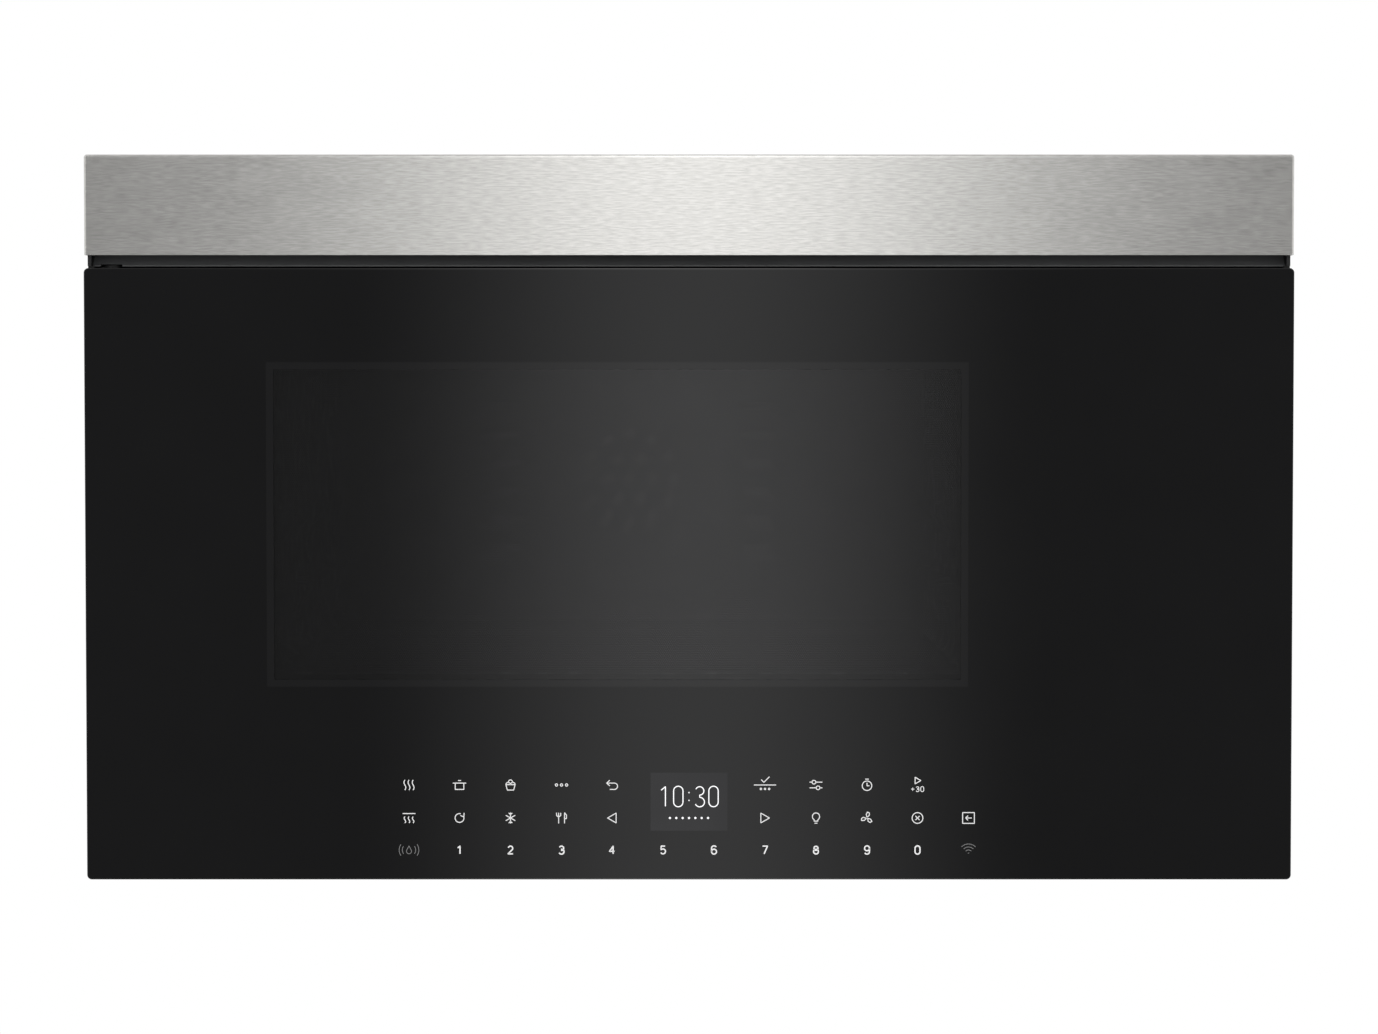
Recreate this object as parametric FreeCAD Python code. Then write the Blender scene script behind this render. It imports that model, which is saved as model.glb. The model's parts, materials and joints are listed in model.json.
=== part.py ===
"""An over-the-range microwave oven for a 30 inch opening, with a flush door that is one sheet of glass.

X runs to the right as seen from the front, Y runs back to the wall and Z runs up. The origin is the
middle of the back plate's wall face, so the whole appliance has negative Y. Sizes are millimetres.

The appliance is a folded steel case round an oven cavity. The vent path starts at two grease filters
in the base, climbs a duct beside the cavity and reaches a double blower behind the top panel, which
sends the air up through a flapped outlet, or through a charcoal filter and out of the front slot.
A magnetron right of the cavity feeds a waveguide and a turning stirrer under the glass-ceramic floor.
The door swings on two pins at its left edge and is held shut by a sprung plate with two hooks.
"""

import FreeCAD, Part
import math
import os

V = FreeCAD.Vector

# ------------------------------------------------------------------ driving dimensions
# Front elevation, scaled from the 759 mm width of the door
overall_width = 759.0
panel_height = 63.0  # bright metal top panel
slot_height = 8.2  # air slot between the top panel and the door
window_left = 114.0  # glass edge to the see-through window
window_right = 204.0  # window to the other edge of the glass, beside the works
window_height = 204.0
window_top = 59.0  # top of the glass to the top of the window
controls_height = 121.9  # bottom of the window to the bottom of the glass
overall_depth = 419.0  # wall to the front of the glass
panel_setback = 1.6  # the top panel stands this far behind the glass
panel_hem = 6.0
panel_tongue = 12.0
panel_screw_inset = 49.5
panel_edge_radius = 2.0

# Sheet thicknesses and small gaps
case_sheet = 0.7
frame_sheet = 1.0
cavity_sheet = 0.8
panel_sheet = 1.0
case_inset = 1.0  # the door and top panel stand this far outside the case
running_gap = 0.3
pin_clearance = 0.05

# Door
door_thickness = 36.0
door_gap = 3.0
glass_thickness = 4.0
glass_corner = 3.0
glass_edge = 0.8
door_wall = 2.0
door_back_sheet = 1.2
hinge_radius = 14.0  # from the hinge pin to the case-side and back faces of the door frame
hinge_pin_radius = 3.5
hinge_plate = 2.0
hinge_arm_radius = 6.0
bush_wall = 2.0
bush_height = 8.0
hinge_pocket_height = 12.5
choke_margin = 18.0  # the choke ring stands this far outside the cavity opening
choke_wall = 1.0
choke_cover_thickness = 2.5
panel_to_glass = 18.0
inner_glass_thickness = 3.0
board_thickness = 1.6
display_width = 48.4
display_height = 36.6
display_drop = 54.3  # bottom of the window to the top of the display
touch_board_width = 408.0
touch_board_foot = 6.0  # over the glass's lower edge
touch_board_head = 8.0  # over the display
chip_size = 14.0
chip_place = 120.0  # middle of the board to each chip

# Cavity
window_margin = 7.5
cavity_head = 32.7  # cavity roof above the top of the window
cavity_foot = 4.7  # cavity floor sheet above the bottom of the window
rear_space = 67.0  # cavity to wall, for the convection fan and its motor
cavity_corner = 8.0
cavity_flange = 10.0
ceramic_thickness = 5.0
rail_height = 21.5
rail_depth = 11.5
rail_setback = 24.0  # behind the front frame
rail_rear = 33.0  # rail to the cavity's back wall
lower_rail_top = 45.0  # above the glass-ceramic floor
rail_pitch = 53.0
element_radius = 3.4
element_pitch = 54.0
element_inset = 78.0  # cavity side to the element's outer runs
element_drop = 14.0

# Under the cavity
well_depth = 21.2
well_side = 78.0  # cavity side to the well
well_end = 31.0  # cavity front and back to the well
waveguide_height = 30.0
waveguide_width = 80.0
stirrer_radius = 70.0
stirrer_shaft = 4.0
motor_shaft = 2.5
stirrer_motor_radius = 25.0
stirrer_motor_height = 17.5

# Works in the bay beside the cavity
transformer_width = 66.0
transformer_length = 90.0
transformer_height = 84.0
transformer_setback = 40.0  # behind the front frame
transformer_foot = 3.0
coil_overhang = 6.0  # the winding stands this far out of the core's sides
coil_end = 22.0  # core's end to the winding
coil_drop = 20.0  # core's top and bottom to the winding
capacitor_width = 54.0
capacitor_depth = 34.0
capacitor_height = 92.0
capacitor_from_fan = 40.0  # cooling fan to the capacitor's middle
blade_terminal = (6.3, 0.8, 12.0)  # width, thickness and height
terminal_inset = 16.0
relay_size = (16.0, 18.0, 20.0)  # out from the board, along it and up it
relay_pitch = 24.0
relay_count = 4
choke_size = (30.0, 30.0, 36.0)
choke_setback = 118.0  # board's front edge to the line filter choke
supply_size = (22.0, 40.0, 30.0)
board_margin = 14.0
fuse_radius = 11.0
fuse_length = 28.0
fuse_place = (100.0, 32.0)  # from the board's front and top edges

# Vent path
filter_width = 196.0
filter_length = 150.0
filter_thickness = 9.0
filter_gap = 2.0
filter_rim = 9.0
filter_rib_pitch = 14.0
filter_rib_width = 2.0
filter_side = 90.5  # side of the case to the filter
lens_width = 90.0
lens_length = 42.0
lens_behind_frame = 34.0
filter_behind_lens = 28.0
base_flange = 14.0
blower_motor_length = 72.0
blower_length = 94.0
blower_blades = 24
blower_sheet = 1.2
wheel_radius = 36.0
wheel_tip_gap = 1.0
wheel_end_gap = 4.0
blower_lift = 2.0  # scroll to cavity roof
scroll_growth = 3.0  # the scroll's radius grows by this much each quarter turn
duct_width = 254.0  # 10 inch
duct_depth = 82.5  # 3 1/4 inch
duct_setback = 50.0
collar_height = 18.0
collar_sheet = 0.8
flap_thickness = 1.0
charcoal_length = 560.0
charcoal_thickness = 12.0
deflector_wall = 1.6
deflector_end = 2.6
deflector_reach = 25.0

# Latch
latch_inset = 155.5  # hook's middle plane to the right-hand edge of the glass
latch_thickness = 4.0
hook_height = 9.0
hook_lip = 3.5
hook_reach = 25.0
hook_lift = 4.0
upper_hook = 85.0
lower_hook = -35.0
hook_side_gap = 3.0
pusher_radius = 4.0
pusher_offset = 31.0  # from the hooks to the door pusher
pusher_height = 20.0
pusher_length = 42.0  # from the frame's back face to the rod's end
pusher_stroke = 12.0
plunger_gap = 3.2  # hook tip to switch face
plunger_radius = 2.1
solenoid_width = 26.0
solenoid_height = 32.0
lever_front = 27.0  # lever pin to the frame's back face
lever_reach = 21.0  # lever pin to the solenoid's axis

# Mounting
bolt_radius = 3.25  # clearance for a 1/4 inch bolt
bolt_spacing = 600.0
bolt_behind_frame = 49.0
bolt_strap_width = 30.0
bolt_strap_end = 20.0  # the strap runs this far past each bolt
nut_radius = 7.0
nut_height = 8.0
grommet_bore = 8.0
grommet_from_side = 128.5
grommet_from_wall = 150.0
hook_slot_length = 40.0
hook_slot_height = 6.0
hook_slot_spacing = 480.0
hook_slot_rise = 20.0
bead_depth = 2.5
bead_width = 16.0
bead_length = 660.0
bead_levels = (80.0, -10.0, -100.0)
rear_outlet_drop = 22.0  # from the top of the case to the knock-out for a duct through the wall
knockout_cut = 1.2
knockout_bridge = 9.0

# ------------------------------------------------------------------ planes that follow from them
door_height = window_top + window_height + controls_height
overall_height = panel_height + slot_height + door_height
top = overall_height / 2
bottom = -top
right = overall_width / 2
left = -right
front = -overall_depth
door_top = bottom + door_height
panel_bottom = top - panel_height
panel_front = front + panel_setback
door_back = front + door_thickness
frame_front = door_back + door_gap
frame_back = frame_front + frame_sheet
glass_back = front + glass_thickness
case_left = left + case_inset
case_right = -case_left
case_top = top - case_inset
case_bottom = bottom + case_inset
inside_left = case_left + case_sheet
inside_right = -inside_left
inside_top = case_top - case_sheet
inside_bottom = case_bottom + case_sheet
inside_back = -case_sheet

window = {
    "x": (left + window_left, right - window_right),
    "z": (door_top - window_top - window_height, door_top - window_top),
}
cavity = {
    "x": (window["x"][0] - window_margin, window["x"][1] + window_margin),
    "y": (frame_back, -rear_space),
    "z": (window["z"][0] + cavity_foot, window["z"][1] + cavity_head),
}
cavity_middle = sum(cavity["x"]) / 2
cavity_centre_y = sum(cavity["y"]) / 2
cavity_centre_z = sum(cavity["z"]) / 2
cavity_floor = cavity["z"][0] + ceramic_thickness
cavity_roof = cavity["z"][1] + cavity_sheet
well_bottom = cavity["z"][0] - cavity_sheet - well_depth
waveguide_top = well_bottom
waveguide_bottom = waveguide_top - waveguide_height
deck_top = waveguide_bottom - stirrer_motor_height - 1.0
deck_bottom = deck_top - case_sheet
hinge_x = case_left + hinge_radius
hinge_y = door_back - hinge_radius
panel_y = glass_back + panel_to_glass  # front face of the door's metal panel
latch_x = right - latch_inset
pusher_x = latch_x + pusher_offset
filter_middle = case_right - filter_side - filter_width / 2
grommet_x = case_right - grommet_from_side
bolt_y = frame_back + bolt_behind_frame
well = {"x": (cavity["x"][0] + well_side, cavity["x"][1] - well_side),
        "y": (cavity["y"][0] + well_end, cavity["y"][1] - well_end)}
choke = {
    "x": (cavity["x"][0] - choke_margin, cavity["x"][1] + choke_margin),
    "z": (cavity["z"][0] - choke_margin, cavity["z"][1] + choke_margin),
}


# ------------------------------------------------------------------ shape helpers
def span(middle, size):
    """The (low, high) pair of a size centred on a middle."""
    return (middle - size / 2, middle + size / 2)


def grown(pair, amount):
    """A (low, high) pair moved outwards at both ends."""
    return (pair[0] - amount, pair[1] + amount)


def block(x, y, z):
    """A box between three (low, high) pairs."""
    return Part.makeBox(x[1] - x[0], y[1] - y[0], z[1] - z[0], V(x[0], y[0], z[0]))


def rod(radius, start, end):
    """A cylinder between two points."""
    line = V(*end) - V(*start)
    return Part.makeCylinder(radius, line.Length, V(*start), line)


PLACES = {
    "yz": lambda u, v, w: V(w, u, v),
    "xz": lambda u, v, w: V(u, w, v),
    "xy": lambda u, v, w: V(u, v, w),
}
NORMALS = {"yz": V(1, 0, 0), "xz": V(0, 1, 0), "xy": V(0, 0, 1)}


def outline(corners, plane, level):
    """A closed wire through (u, v) or (u, v, radius) corners in a plane; a radius rounds its corner."""
    place = PLACES[plane]
    turns = []
    for i, corner in enumerate(corners):
        here = V(corner[0], corner[1], 0)
        radius = corner[2] if len(corner) > 2 else 0
        if not radius:
            turns.append((here, None, here))
            continue
        after = corners[(i + 1) % len(corners)]
        to_last = (V(corners[i - 1][0], corners[i - 1][1], 0) - here).normalize()
        to_next = (V(after[0], after[1], 0) - here).normalize()
        half_angle = to_last.getAngle(to_next) / 2
        reach = radius / math.tan(half_angle)
        inward = (to_last + to_next).normalize()
        middle = here + inward * (radius / math.sin(half_angle) - radius)
        turns.append((here + to_last * reach, middle, here + to_next * reach))
    edges = []
    for i, (start, middle, end) in enumerate(turns):
        following = turns[(i + 1) % len(turns)][0]
        if middle is not None:
            points = [place(p.x, p.y, level) for p in (start, middle, end)]
            edges.append(Part.Arc(*points).toShape())
        if (following - end).Length > 1e-6:
            edges.append(Part.makeLine(place(end.x, end.y, level), place(following.x, following.y, level)))
    return Part.Wire(edges)


def prism(corners, plane, levels):
    """An outline in one plane, extruded between two levels."""
    face = Part.Face(outline(corners, plane, levels[0]))
    return face.extrude(NORMALS[plane] * (levels[1] - levels[0]))


def rectangle(u, v, radius=0):
    """The corners of a rectangle, rounded if a radius is given."""
    return [(u[0], v[0], radius), (u[1], v[0], radius), (u[1], v[1], radius), (u[0], v[1], radius)]


def panel(x, z, y, radius=0):
    """An upright plate that faces the front."""
    return prism(rectangle(x, z, radius), "xz", y)


def tray(x, y, z, radius=0):
    """A level plate."""
    return prism(rectangle(x, y, radius), "xy", z)


def cut_all(shape, tools):
    """A shape less all the tools."""
    return shape.cut(Part.makeCompound(tools)) if tools else shape


def fuse_all(shapes):
    """One solid from shapes that touch."""
    return shapes[0].multiFuse(shapes[1:]).removeSplitter()


def edges_at(shape, test):
    """The edges whose whole length passes a test on its points."""
    return [e for e in shape.Edges if all(test(e.valueAt(t)) for t in e.ParameterRange)
            and test(e.CenterOfMass)]


def near(a, b):
    return abs(a - b) < 1e-4


def screw(x, y, z, direction):
    """A low pan head, 7 mm across, seated at a point and facing along a direction."""
    head_radius, head_height, edge = 3.5, 2.0, 0.7
    head = Part.makeCylinder(head_radius, head_height, V(x, y, z), V(*direction))
    rim = [e for e in head.Edges if near((e.CenterOfMass - V(x, y, z)).Length, head_height)]
    return head.makeChamfer(edge, rim)


def pipe(points, radius, bend):
    """A round bar along straight runs joined by tangent arcs."""
    edges = []
    start = V(*points[0])
    for i in range(1, len(points) - 1):
        here = V(*points[i])
        to_last = (V(*points[i - 1]) - here).normalize()
        to_next = (V(*points[i + 1]) - here).normalize()
        half_angle = to_last.getAngle(to_next) / 2
        reach = bend / math.tan(half_angle)
        inward = (to_last + to_next).normalize()
        first = here + to_last * reach
        middle = here + inward * (bend / math.sin(half_angle) - bend)
        last = here + to_next * reach
        edges.append(Part.makeLine(start, first))
        edges.append(Part.Arc(first, middle, last).toShape())
        start = last
    edges.append(Part.makeLine(start, V(*points[-1])))
    spine = Part.Wire(edges)
    direction = V(*points[1]) - V(*points[0])
    section = Part.Wire(Part.makeCircle(radius, V(*points[0]), direction))
    return spine.makePipeShell([section], True, True)


# ------------------------------------------------------------------ case
bolt_places = [(side * bolt_spacing / 2, bolt_y) for side in (-1, 1)]
duct = {"x": span(0, duct_width), "y": (-duct_setback - duct_depth, -duct_setback)}


def make_outer_wrap():
    """Top and both sides of the case in one fold, open where the outlet, bolts and lead pass."""
    shell = block((case_left, case_right), (frame_back, inside_back), (case_bottom, case_top))
    bend = edges_at(shell, lambda p: near(p.z, case_top) and near(abs(p.x), case_right))
    shell = shell.makeFillet(2.0, bend)
    room = block((inside_left, inside_right), (frame_back - 1, 0), (case_bottom - 1, inside_top))
    holes = [rod(bolt_radius, (x, y, inside_top - 1), (x, y, case_top + 1)) for x, y in bolt_places]
    holes.append(rod(grommet_bore + 3, (grommet_x, -grommet_from_wall, inside_top - 1),
                     (grommet_x, -grommet_from_wall, case_top + 1)))
    holes.append(block(grown(duct["x"], -2), grown(duct["y"], -2), (inside_top - 1, case_top + 1)))
    return cut_all(shell.cut(room), holes)


def pressed_bead(plate, x, z):
    """Presses a bead with round ends into the back plate and keeps the sheet's thickness."""
    radius = (z[1] - z[0]) / 2 - 0.1
    boss = panel(x, z, (inside_back - bead_depth, inside_back), radius)
    dish = panel(grown(x, -case_sheet), grown(z, -case_sheet), (-bead_depth, 1), radius - case_sheet)
    return plate.fuse(boss).cut(dish)


def knockout_cuts():
    """Cuts round the rear outlet, with the bridges left that hold its cover until a duct needs it."""
    x = span(0, duct_width)
    z = (case_top - rear_outlet_drop - duct_depth, case_top - rear_outlet_drop)
    through = (inside_back - 1, 1)
    ring = panel(grown(x, knockout_cut), grown(z, knockout_cut), through).cut(panel(x, z, grown(through, 1)))
    bridges = [block(span(place, knockout_bridge), grown(through, 2), grown(z, 2 * knockout_cut))
               for place in (-duct_width / 3, 0, duct_width / 3)]
    bridges.append(block(grown(x, 2 * knockout_cut), grown(through, 2), span(sum(z) / 2, knockout_bridge)))
    return cut_all(ring, bridges)


def make_back_plate():
    """Plate on the wall with pressed beads, a knock-out for a rear duct, and slots that drop over the tabs of
    the wall plate."""
    plate = panel((case_left, case_right), (case_bottom, case_top), (inside_back, 0), 2.0)
    for level in bead_levels:
        plate = pressed_bead(plate, span(0, bead_length), span(level, bead_width))
    slots = [panel(span(side * hook_slot_spacing / 2, hook_slot_length),
                   span(case_bottom + hook_slot_rise, hook_slot_height), (-2, 1), 2.9)
             for side in (-1, 1)]
    return cut_all(plate, slots + [knockout_cuts()])


hook_slots = [
    {"x": grown(span(latch_x, latch_thickness), hook_side_gap),
     "z": (z - running_gap, z + hook_height + hook_lift + 1)}
    for z in (lower_hook, upper_hook)
]
hinge_arm_z = {"top": (door_top + 0.4, door_top + 0.4 + hinge_plate),
               "bottom": (bottom + 9.5, bottom + 9.5 + hinge_plate)}
hinge_arm_x = span(hinge_x, 2 * hinge_arm_radius)
bracket_foot_x = (hinge_arm_x[0], hinge_arm_x[1] + 14)
filter_x = {side: span(side * filter_middle, filter_width) for side in (-1, 1)}
lens_y = (frame_back + lens_behind_frame, frame_back + lens_behind_frame + lens_length)
filter_y = (lens_y[1] + filter_behind_lens, lens_y[1] + filter_behind_lens + filter_length)
lens_x = {side: span(side * filter_middle, lens_width) for side in (-1, 1)}


def filter_spring(side):
    """Leaf turned up from the base that presses on the front edge of a filter."""
    x = span(side * filter_middle, 30)
    y = filter_y[0] - filter_gap
    leaf = block(x, (y - 2.0, y - 1.2), (inside_bottom, inside_bottom + 11))
    nose = block(x, (y - 2.0, filter_y[0] - 0.6), (inside_bottom + 5, inside_bottom + 6))
    return [leaf, nose]


def make_base_pan():
    """Bottom of the case: a tray with openings for both filters and both worktop lights."""
    outer = block((inside_left, inside_right), (frame_back, inside_back),
                  (case_bottom, case_bottom + base_flange))
    room = block((inside_left + case_sheet, inside_right - case_sheet),
                 (frame_back + case_sheet, inside_back - case_sheet),
                 (inside_bottom, case_bottom + base_flange + 1))
    holes = []
    for side in (-1, 1):
        holes.append(tray(grown(filter_x[side], filter_gap), grown(filter_y, filter_gap),
                          (case_bottom - 1, inside_bottom + 1), 4.0))
        holes.append(tray(grown(lens_x[side], -4), grown(lens_y, -4),
                          (case_bottom - 1, inside_bottom + 1), 3.0))
    arm_low = hinge_arm_z["bottom"][0]
    holes.append(block(grown(bracket_foot_x, 0.5), (frame_back - 1, frame_back + case_sheet + 1),
                       (arm_low - 0.5, case_bottom + base_flange + 1)))
    pan = cut_all(outer.cut(room), holes)
    return fuse_all([pan] + filter_spring(-1) + filter_spring(1))


def make_deck():
    """Floor of the works: it closes off the vent duct below and lets air up on the left."""
    plate = block((inside_left, inside_right), (frame_back, inside_back), (deck_bottom, deck_top))
    riser = block((inside_left + 10, choke["x"][0] - 4), (filter_y[0], -duct_setback),
                  (deck_bottom - 1, deck_top + 1))
    return plate.cut(riser)


def make_front_frame():
    """Steel face behind the door, open at the cavity, the hooks, the door pusher and the hinge arms."""
    plate = panel((case_left, case_right), (case_bottom, door_top + 1.2), (frame_front, frame_back), 1.5)
    holes = [panel(cavity["x"], cavity["z"], (frame_front - 1, frame_back + 1), cavity_corner)]
    for slot in hook_slots:
        holes.append(panel(slot["x"], slot["z"], (frame_front - 1, frame_back + 1), 1.5))
    holes.append(rod(pusher_radius + 1, (pusher_x, frame_front - 1, pusher_height),
                     (pusher_x, frame_back + 1, pusher_height)))
    for z in hinge_arm_z.values():
        holes.append(block(grown(hinge_arm_x, 0.3), (frame_front - 1, frame_back + 1), grown(z, 0.3)))
    return cut_all(plate, holes)


def make_top_panel():
    """Bright top panel: a shallow pan open at the back, with a tongue that lies on the case."""
    edge = panel_edge_radius
    outer = block((left, right), (panel_front, frame_front), (panel_bottom, top))
    corners = edges_at(outer, lambda p: (near(p.y, panel_front) and near(p.z, top))
                       or (near(p.y, panel_front) and near(abs(p.x), right))
                       or (near(p.z, top) and near(abs(p.x), right)))
    outer = outer.makeFillet(edge, corners)
    inner = block((left + panel_sheet, right - panel_sheet), (panel_front + panel_sheet, frame_front + 1),
                  (panel_bottom - 1, top - panel_sheet))
    skin_front, skin_top, skin_side = panel_front + panel_sheet, top - panel_sheet, right - panel_sheet
    corners = edges_at(inner, lambda p: (near(p.y, skin_front) and near(p.z, skin_top))
                       or (near(p.y, skin_front) and near(abs(p.x), skin_side))
                       or (near(p.z, skin_top) and near(abs(p.x), skin_side)))
    inner = inner.makeFillet(edge - panel_sheet, corners)
    lip = block((left + edge, right - edge), (panel_front + panel_sheet, panel_front + panel_hem),
                (panel_bottom, panel_bottom + panel_sheet))
    strap = block((left + 20, right - 20), (frame_front - 1, frame_back + panel_tongue), (case_top, top))
    return fuse_all([outer.cut(inner), lip, strap])


def make_vent_deflector():
    """Black moulding above the door: a sloped face that turns the air out of the slot, and end walls."""
    lip_y = frame_back - deflector_reach
    low = door_top + 1.5
    high = low + deflector_reach
    x = (case_left + deflector_end, case_right - deflector_end)
    slope = prism([(lip_y, low), (frame_back, low), (frame_back, low + deflector_wall),
                   (lip_y + 2.4 * deflector_wall, low + deflector_wall),
                   (frame_back, high - 1.4 * deflector_wall),
                   (frame_back, high), (lip_y, low + 0.8)], "yz", x)
    ends = [block(pair, (panel_front + panel_hem + running_gap, frame_back), (low, inside_top))
            for pair in ((case_left + running_gap, x[0]), (x[1], case_right - running_gap))]
    return cut_all(fuse_all([slope] + ends),
                   [block(grown(hinge_arm_x, 1.0), (lip_y - 1, frame_back + 1),
                          (low - 1, hinge_arm_z["top"][1] + 0.4))])


def make_charcoal_filter():
    """Charcoal cartridge that stands behind the deflector: a rim with a slatted face."""
    z = (door_top + 1.5 + deflector_reach + 1.0, inside_top)
    y = (frame_back + 1.0, frame_back + 1.0 + charcoal_thickness)
    x = span(0, charcoal_length)
    body = block(x, y, z)
    rim = 3.0
    slat_count = 14
    pitch = (charcoal_length - rim) / slat_count
    pockets = [block((x[0] + rim + i * pitch, x[0] + (i + 1) * pitch), (y[0] - 1, y[0] + rim),
                     grown(z, -rim)) for i in range(slat_count)]
    return cut_all(body, pockets)


def make_mount_bracket():
    """Bracket under the case top with two welded nuts for the bolts from the cupboard above."""
    sheet = 1.5
    strap = block(span(0, bolt_spacing + 2 * bolt_strap_end), span(bolt_y, bolt_strap_width),
                  (inside_top - sheet, inside_top))
    nut_z = (inside_top - sheet - nut_height, inside_top - sheet)
    nuts = [rod(nut_radius, (x, y, nut_z[0]), (x, y, nut_z[1])) for x, y in bolt_places]
    bores = [rod(bolt_radius, (x, y, nut_z[0] - 1), (x, y, inside_top + 1)) for x, y in bolt_places]
    return cut_all(fuse_all([strap] + nuts), bores)


def make_grommet():
    """Bush that lines the hole where the supply lead leaves the top."""
    flange, neck = 6.0, 3.0
    z0 = inside_top - 2.5
    profile = [(grommet_bore, z0), (grommet_bore + flange, z0), (grommet_bore + flange, inside_top),
               (grommet_bore + neck, inside_top), (grommet_bore + neck, case_top),
               (grommet_bore + flange, case_top), (grommet_bore + flange, case_top + 2.5),
               (grommet_bore, case_top + 2.5)]
    ring = Part.Face(outline(profile, "xz", 0)).revolve(V(0, 0, 0), V(0, 0, 1), 360)
    ring.translate(V(grommet_x, -grommet_from_wall, 0))
    return ring


def make_hinge_brackets():
    """Two steel brackets behind the frame, each with an arm and a pin into the door."""
    made = []
    for name, pin_way, foot_way in (("top", -1, -1), ("bottom", 1, 1)):
        z = hinge_arm_z[name]
        face = z[0] if pin_way < 0 else z[1]
        arm = block(hinge_arm_x, (hinge_y, frame_back + hinge_plate), z)
        nose = rod(hinge_arm_radius, (hinge_x, hinge_y, z[0]), (hinge_x, hinge_y, z[1]))
        pin = rod(hinge_pin_radius, (hinge_x, hinge_y, face),
                  (hinge_x, hinge_y, face + pin_way * (bush_height + 1.5)))
        foot_z = (z[0] - 26, z[1]) if foot_way < 0 else (z[0], z[1] + 26)
        foot = block(bracket_foot_x, (frame_back, frame_back + hinge_plate), foot_z)
        made.append(fuse_all([arm, nose, pin, foot]))
    return Part.makeCompound(made)


def make_door_bumpers():
    """Four rubber buttons on the frame that the closed door rests against."""
    pads = []
    for x in (choke["x"][0] - 24, right - 30):
        for z in (choke["z"][0] - 30, door_top - 30):
            pads.append(rod(5.0, (x, door_back + running_gap, z), (x, frame_front, z)))
    return Part.makeCompound(pads)


def make_case_screws():
    """Screws of the case: four in the tongue of the top panel, four in the outlet plate, six in the base."""
    outermost = right - panel_screw_inset
    heads = [screw(outermost * share, frame_back + panel_tongue / 2, top, (0, 0, 1))
             for share in (-1, -1 / 3, 1 / 3, 1)]
    for x in grown(duct["x"], 8):
        for y in grown(duct["y"], 6):
            heads.append(screw(x, y, case_top + case_sheet, (0, 0, 1)))
    for x in (inside_left + 25, 0, inside_right - 25):
        for y in (frame_back + 20, inside_back - 20):
            heads.append(screw(x, y, case_bottom, (0, 0, -1)))
    return Part.makeCompound(heads)


# ------------------------------------------------------------------ cavity
convection_z = cavity_centre_z
perforation_radius = 3.6
perforation_pitch = 17.0
perforation_rings = 3
louvre_reach = 97.0  # middle of the fan to the hot-air slots


def make_cavity_liner():
    """Enamelled oven box, open at the front, with a flange that is welded behind the frame."""
    outer = panel(grown(cavity["x"], cavity_sheet), grown(cavity["z"], cavity_sheet),
                  (cavity["y"][0], cavity["y"][1] + cavity_sheet), cavity_corner + cavity_sheet)
    flange = panel(grown(cavity["x"], cavity_flange), grown(cavity["z"], cavity_flange),
                   (frame_back, frame_back + cavity_sheet), cavity_corner)
    room = panel(cavity["x"], cavity["z"], (cavity["y"][0] - 1, cavity["y"][1]), cavity_corner)
    rear = (cavity["y"][1] - 1, cavity["y"][1] + 2)
    holes = []
    for ring in range(perforation_rings):
        count = max(1, 6 * ring)
        for i in range(count):
            turn = 2 * math.pi * i / count
            x = cavity_middle + ring * perforation_pitch * math.cos(turn)
            z = convection_z + ring * perforation_pitch * math.sin(turn)
            holes.append(rod(perforation_radius, (x, rear[0], z), (x, rear[1], z)))
    slot_count = 6
    slot_pitch = 22.0
    slot_length = 22.0
    slot_width = 6.0
    for side in (-1, 1):
        for i in range(slot_count):
            z = convection_z + (i - (slot_count - 1) / 2) * slot_pitch
            holes.append(panel(span(cavity_middle + side * louvre_reach, slot_length), span(z, slot_width),
                               rear, slot_width / 2 - 0.1))
    holes.append(tray(well["x"], well["y"], (cavity["z"][0] - 2, cavity["z"][0] + 1), 12.0))
    for x in element_ends():
        holes.append(rod(element_radius + running_gap, (x, element_y0(), cavity["z"][1] - 1),
                         (x, element_y0(), cavity_roof + 1)))
    holes.append(prism(rectangle(lamp_y, lamp_z, 3), "yz", (cavity["x"][1] - 1, cavity["x"][1] + 2)))
    return cut_all(fuse_all([outer, flange]).cut(room), holes)


lamp_y = span(frame_back + 70, 46)
lamp_z = span(cavity["z"][1] - 26, 16)


def make_cavity_lamp():
    """Oven light: a lens that fills its opening and a box behind it on the works side."""
    wall_x = cavity["x"][1] + cavity_sheet
    lens = prism(rectangle(grown(lamp_y, -running_gap), grown(lamp_z, -running_gap), 2.7), "yz",
                 (cavity["x"][1], wall_x))
    box = prism(rectangle(grown(lamp_y, 5), grown(lamp_z, 5), 3), "yz", (wall_x, wall_x + 14))
    return fuse_all([lens, box])


def make_ceramic_floor():
    """Glass-ceramic plate bonded to the cavity floor over the stirrer."""
    gap = 2.5
    plate = tray(grown(cavity["x"], -gap - cavity_corner), grown((cavity["y"][0] + 6, cavity["y"][1]), -gap),
                 (cavity["z"][0], cavity_floor), 8.0)
    rim = edges_at(plate, lambda p: near(p.z, cavity_floor))
    return plate.makeChamfer(0.8, rim)


rail_y = (frame_back + rail_setback, cavity["y"][1] - rail_rear)
rail_tops = [cavity_floor + lower_rail_top, cavity_floor + lower_rail_top + rail_pitch]


def make_rack_supports():
    """Two ledges on each side wall: level on top, sloped below, with rounded ends."""
    rails = []
    for wall, way in ((cavity["x"][0], 1), (cavity["x"][1], -1)):
        for z in rail_tops:
            profile = [(wall, z), (wall + way * rail_depth, z),
                       (wall + way * rail_depth, z - rail_height * 0.35),
                       (wall, z - rail_height)]
            rail = prism(profile, "xz", rail_y)
            ends = [e for e in rail.Edges if near(e.valueAt(e.FirstParameter).x, wall + way * rail_depth)
                    and near(e.valueAt(e.LastParameter).x, wall + way * rail_depth)
                    and abs(e.tangentAt(e.FirstParameter).z) > 0.9]
            rails.append(rail.makeFillet(5.0, ends))
    return Part.makeCompound(rails)


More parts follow.
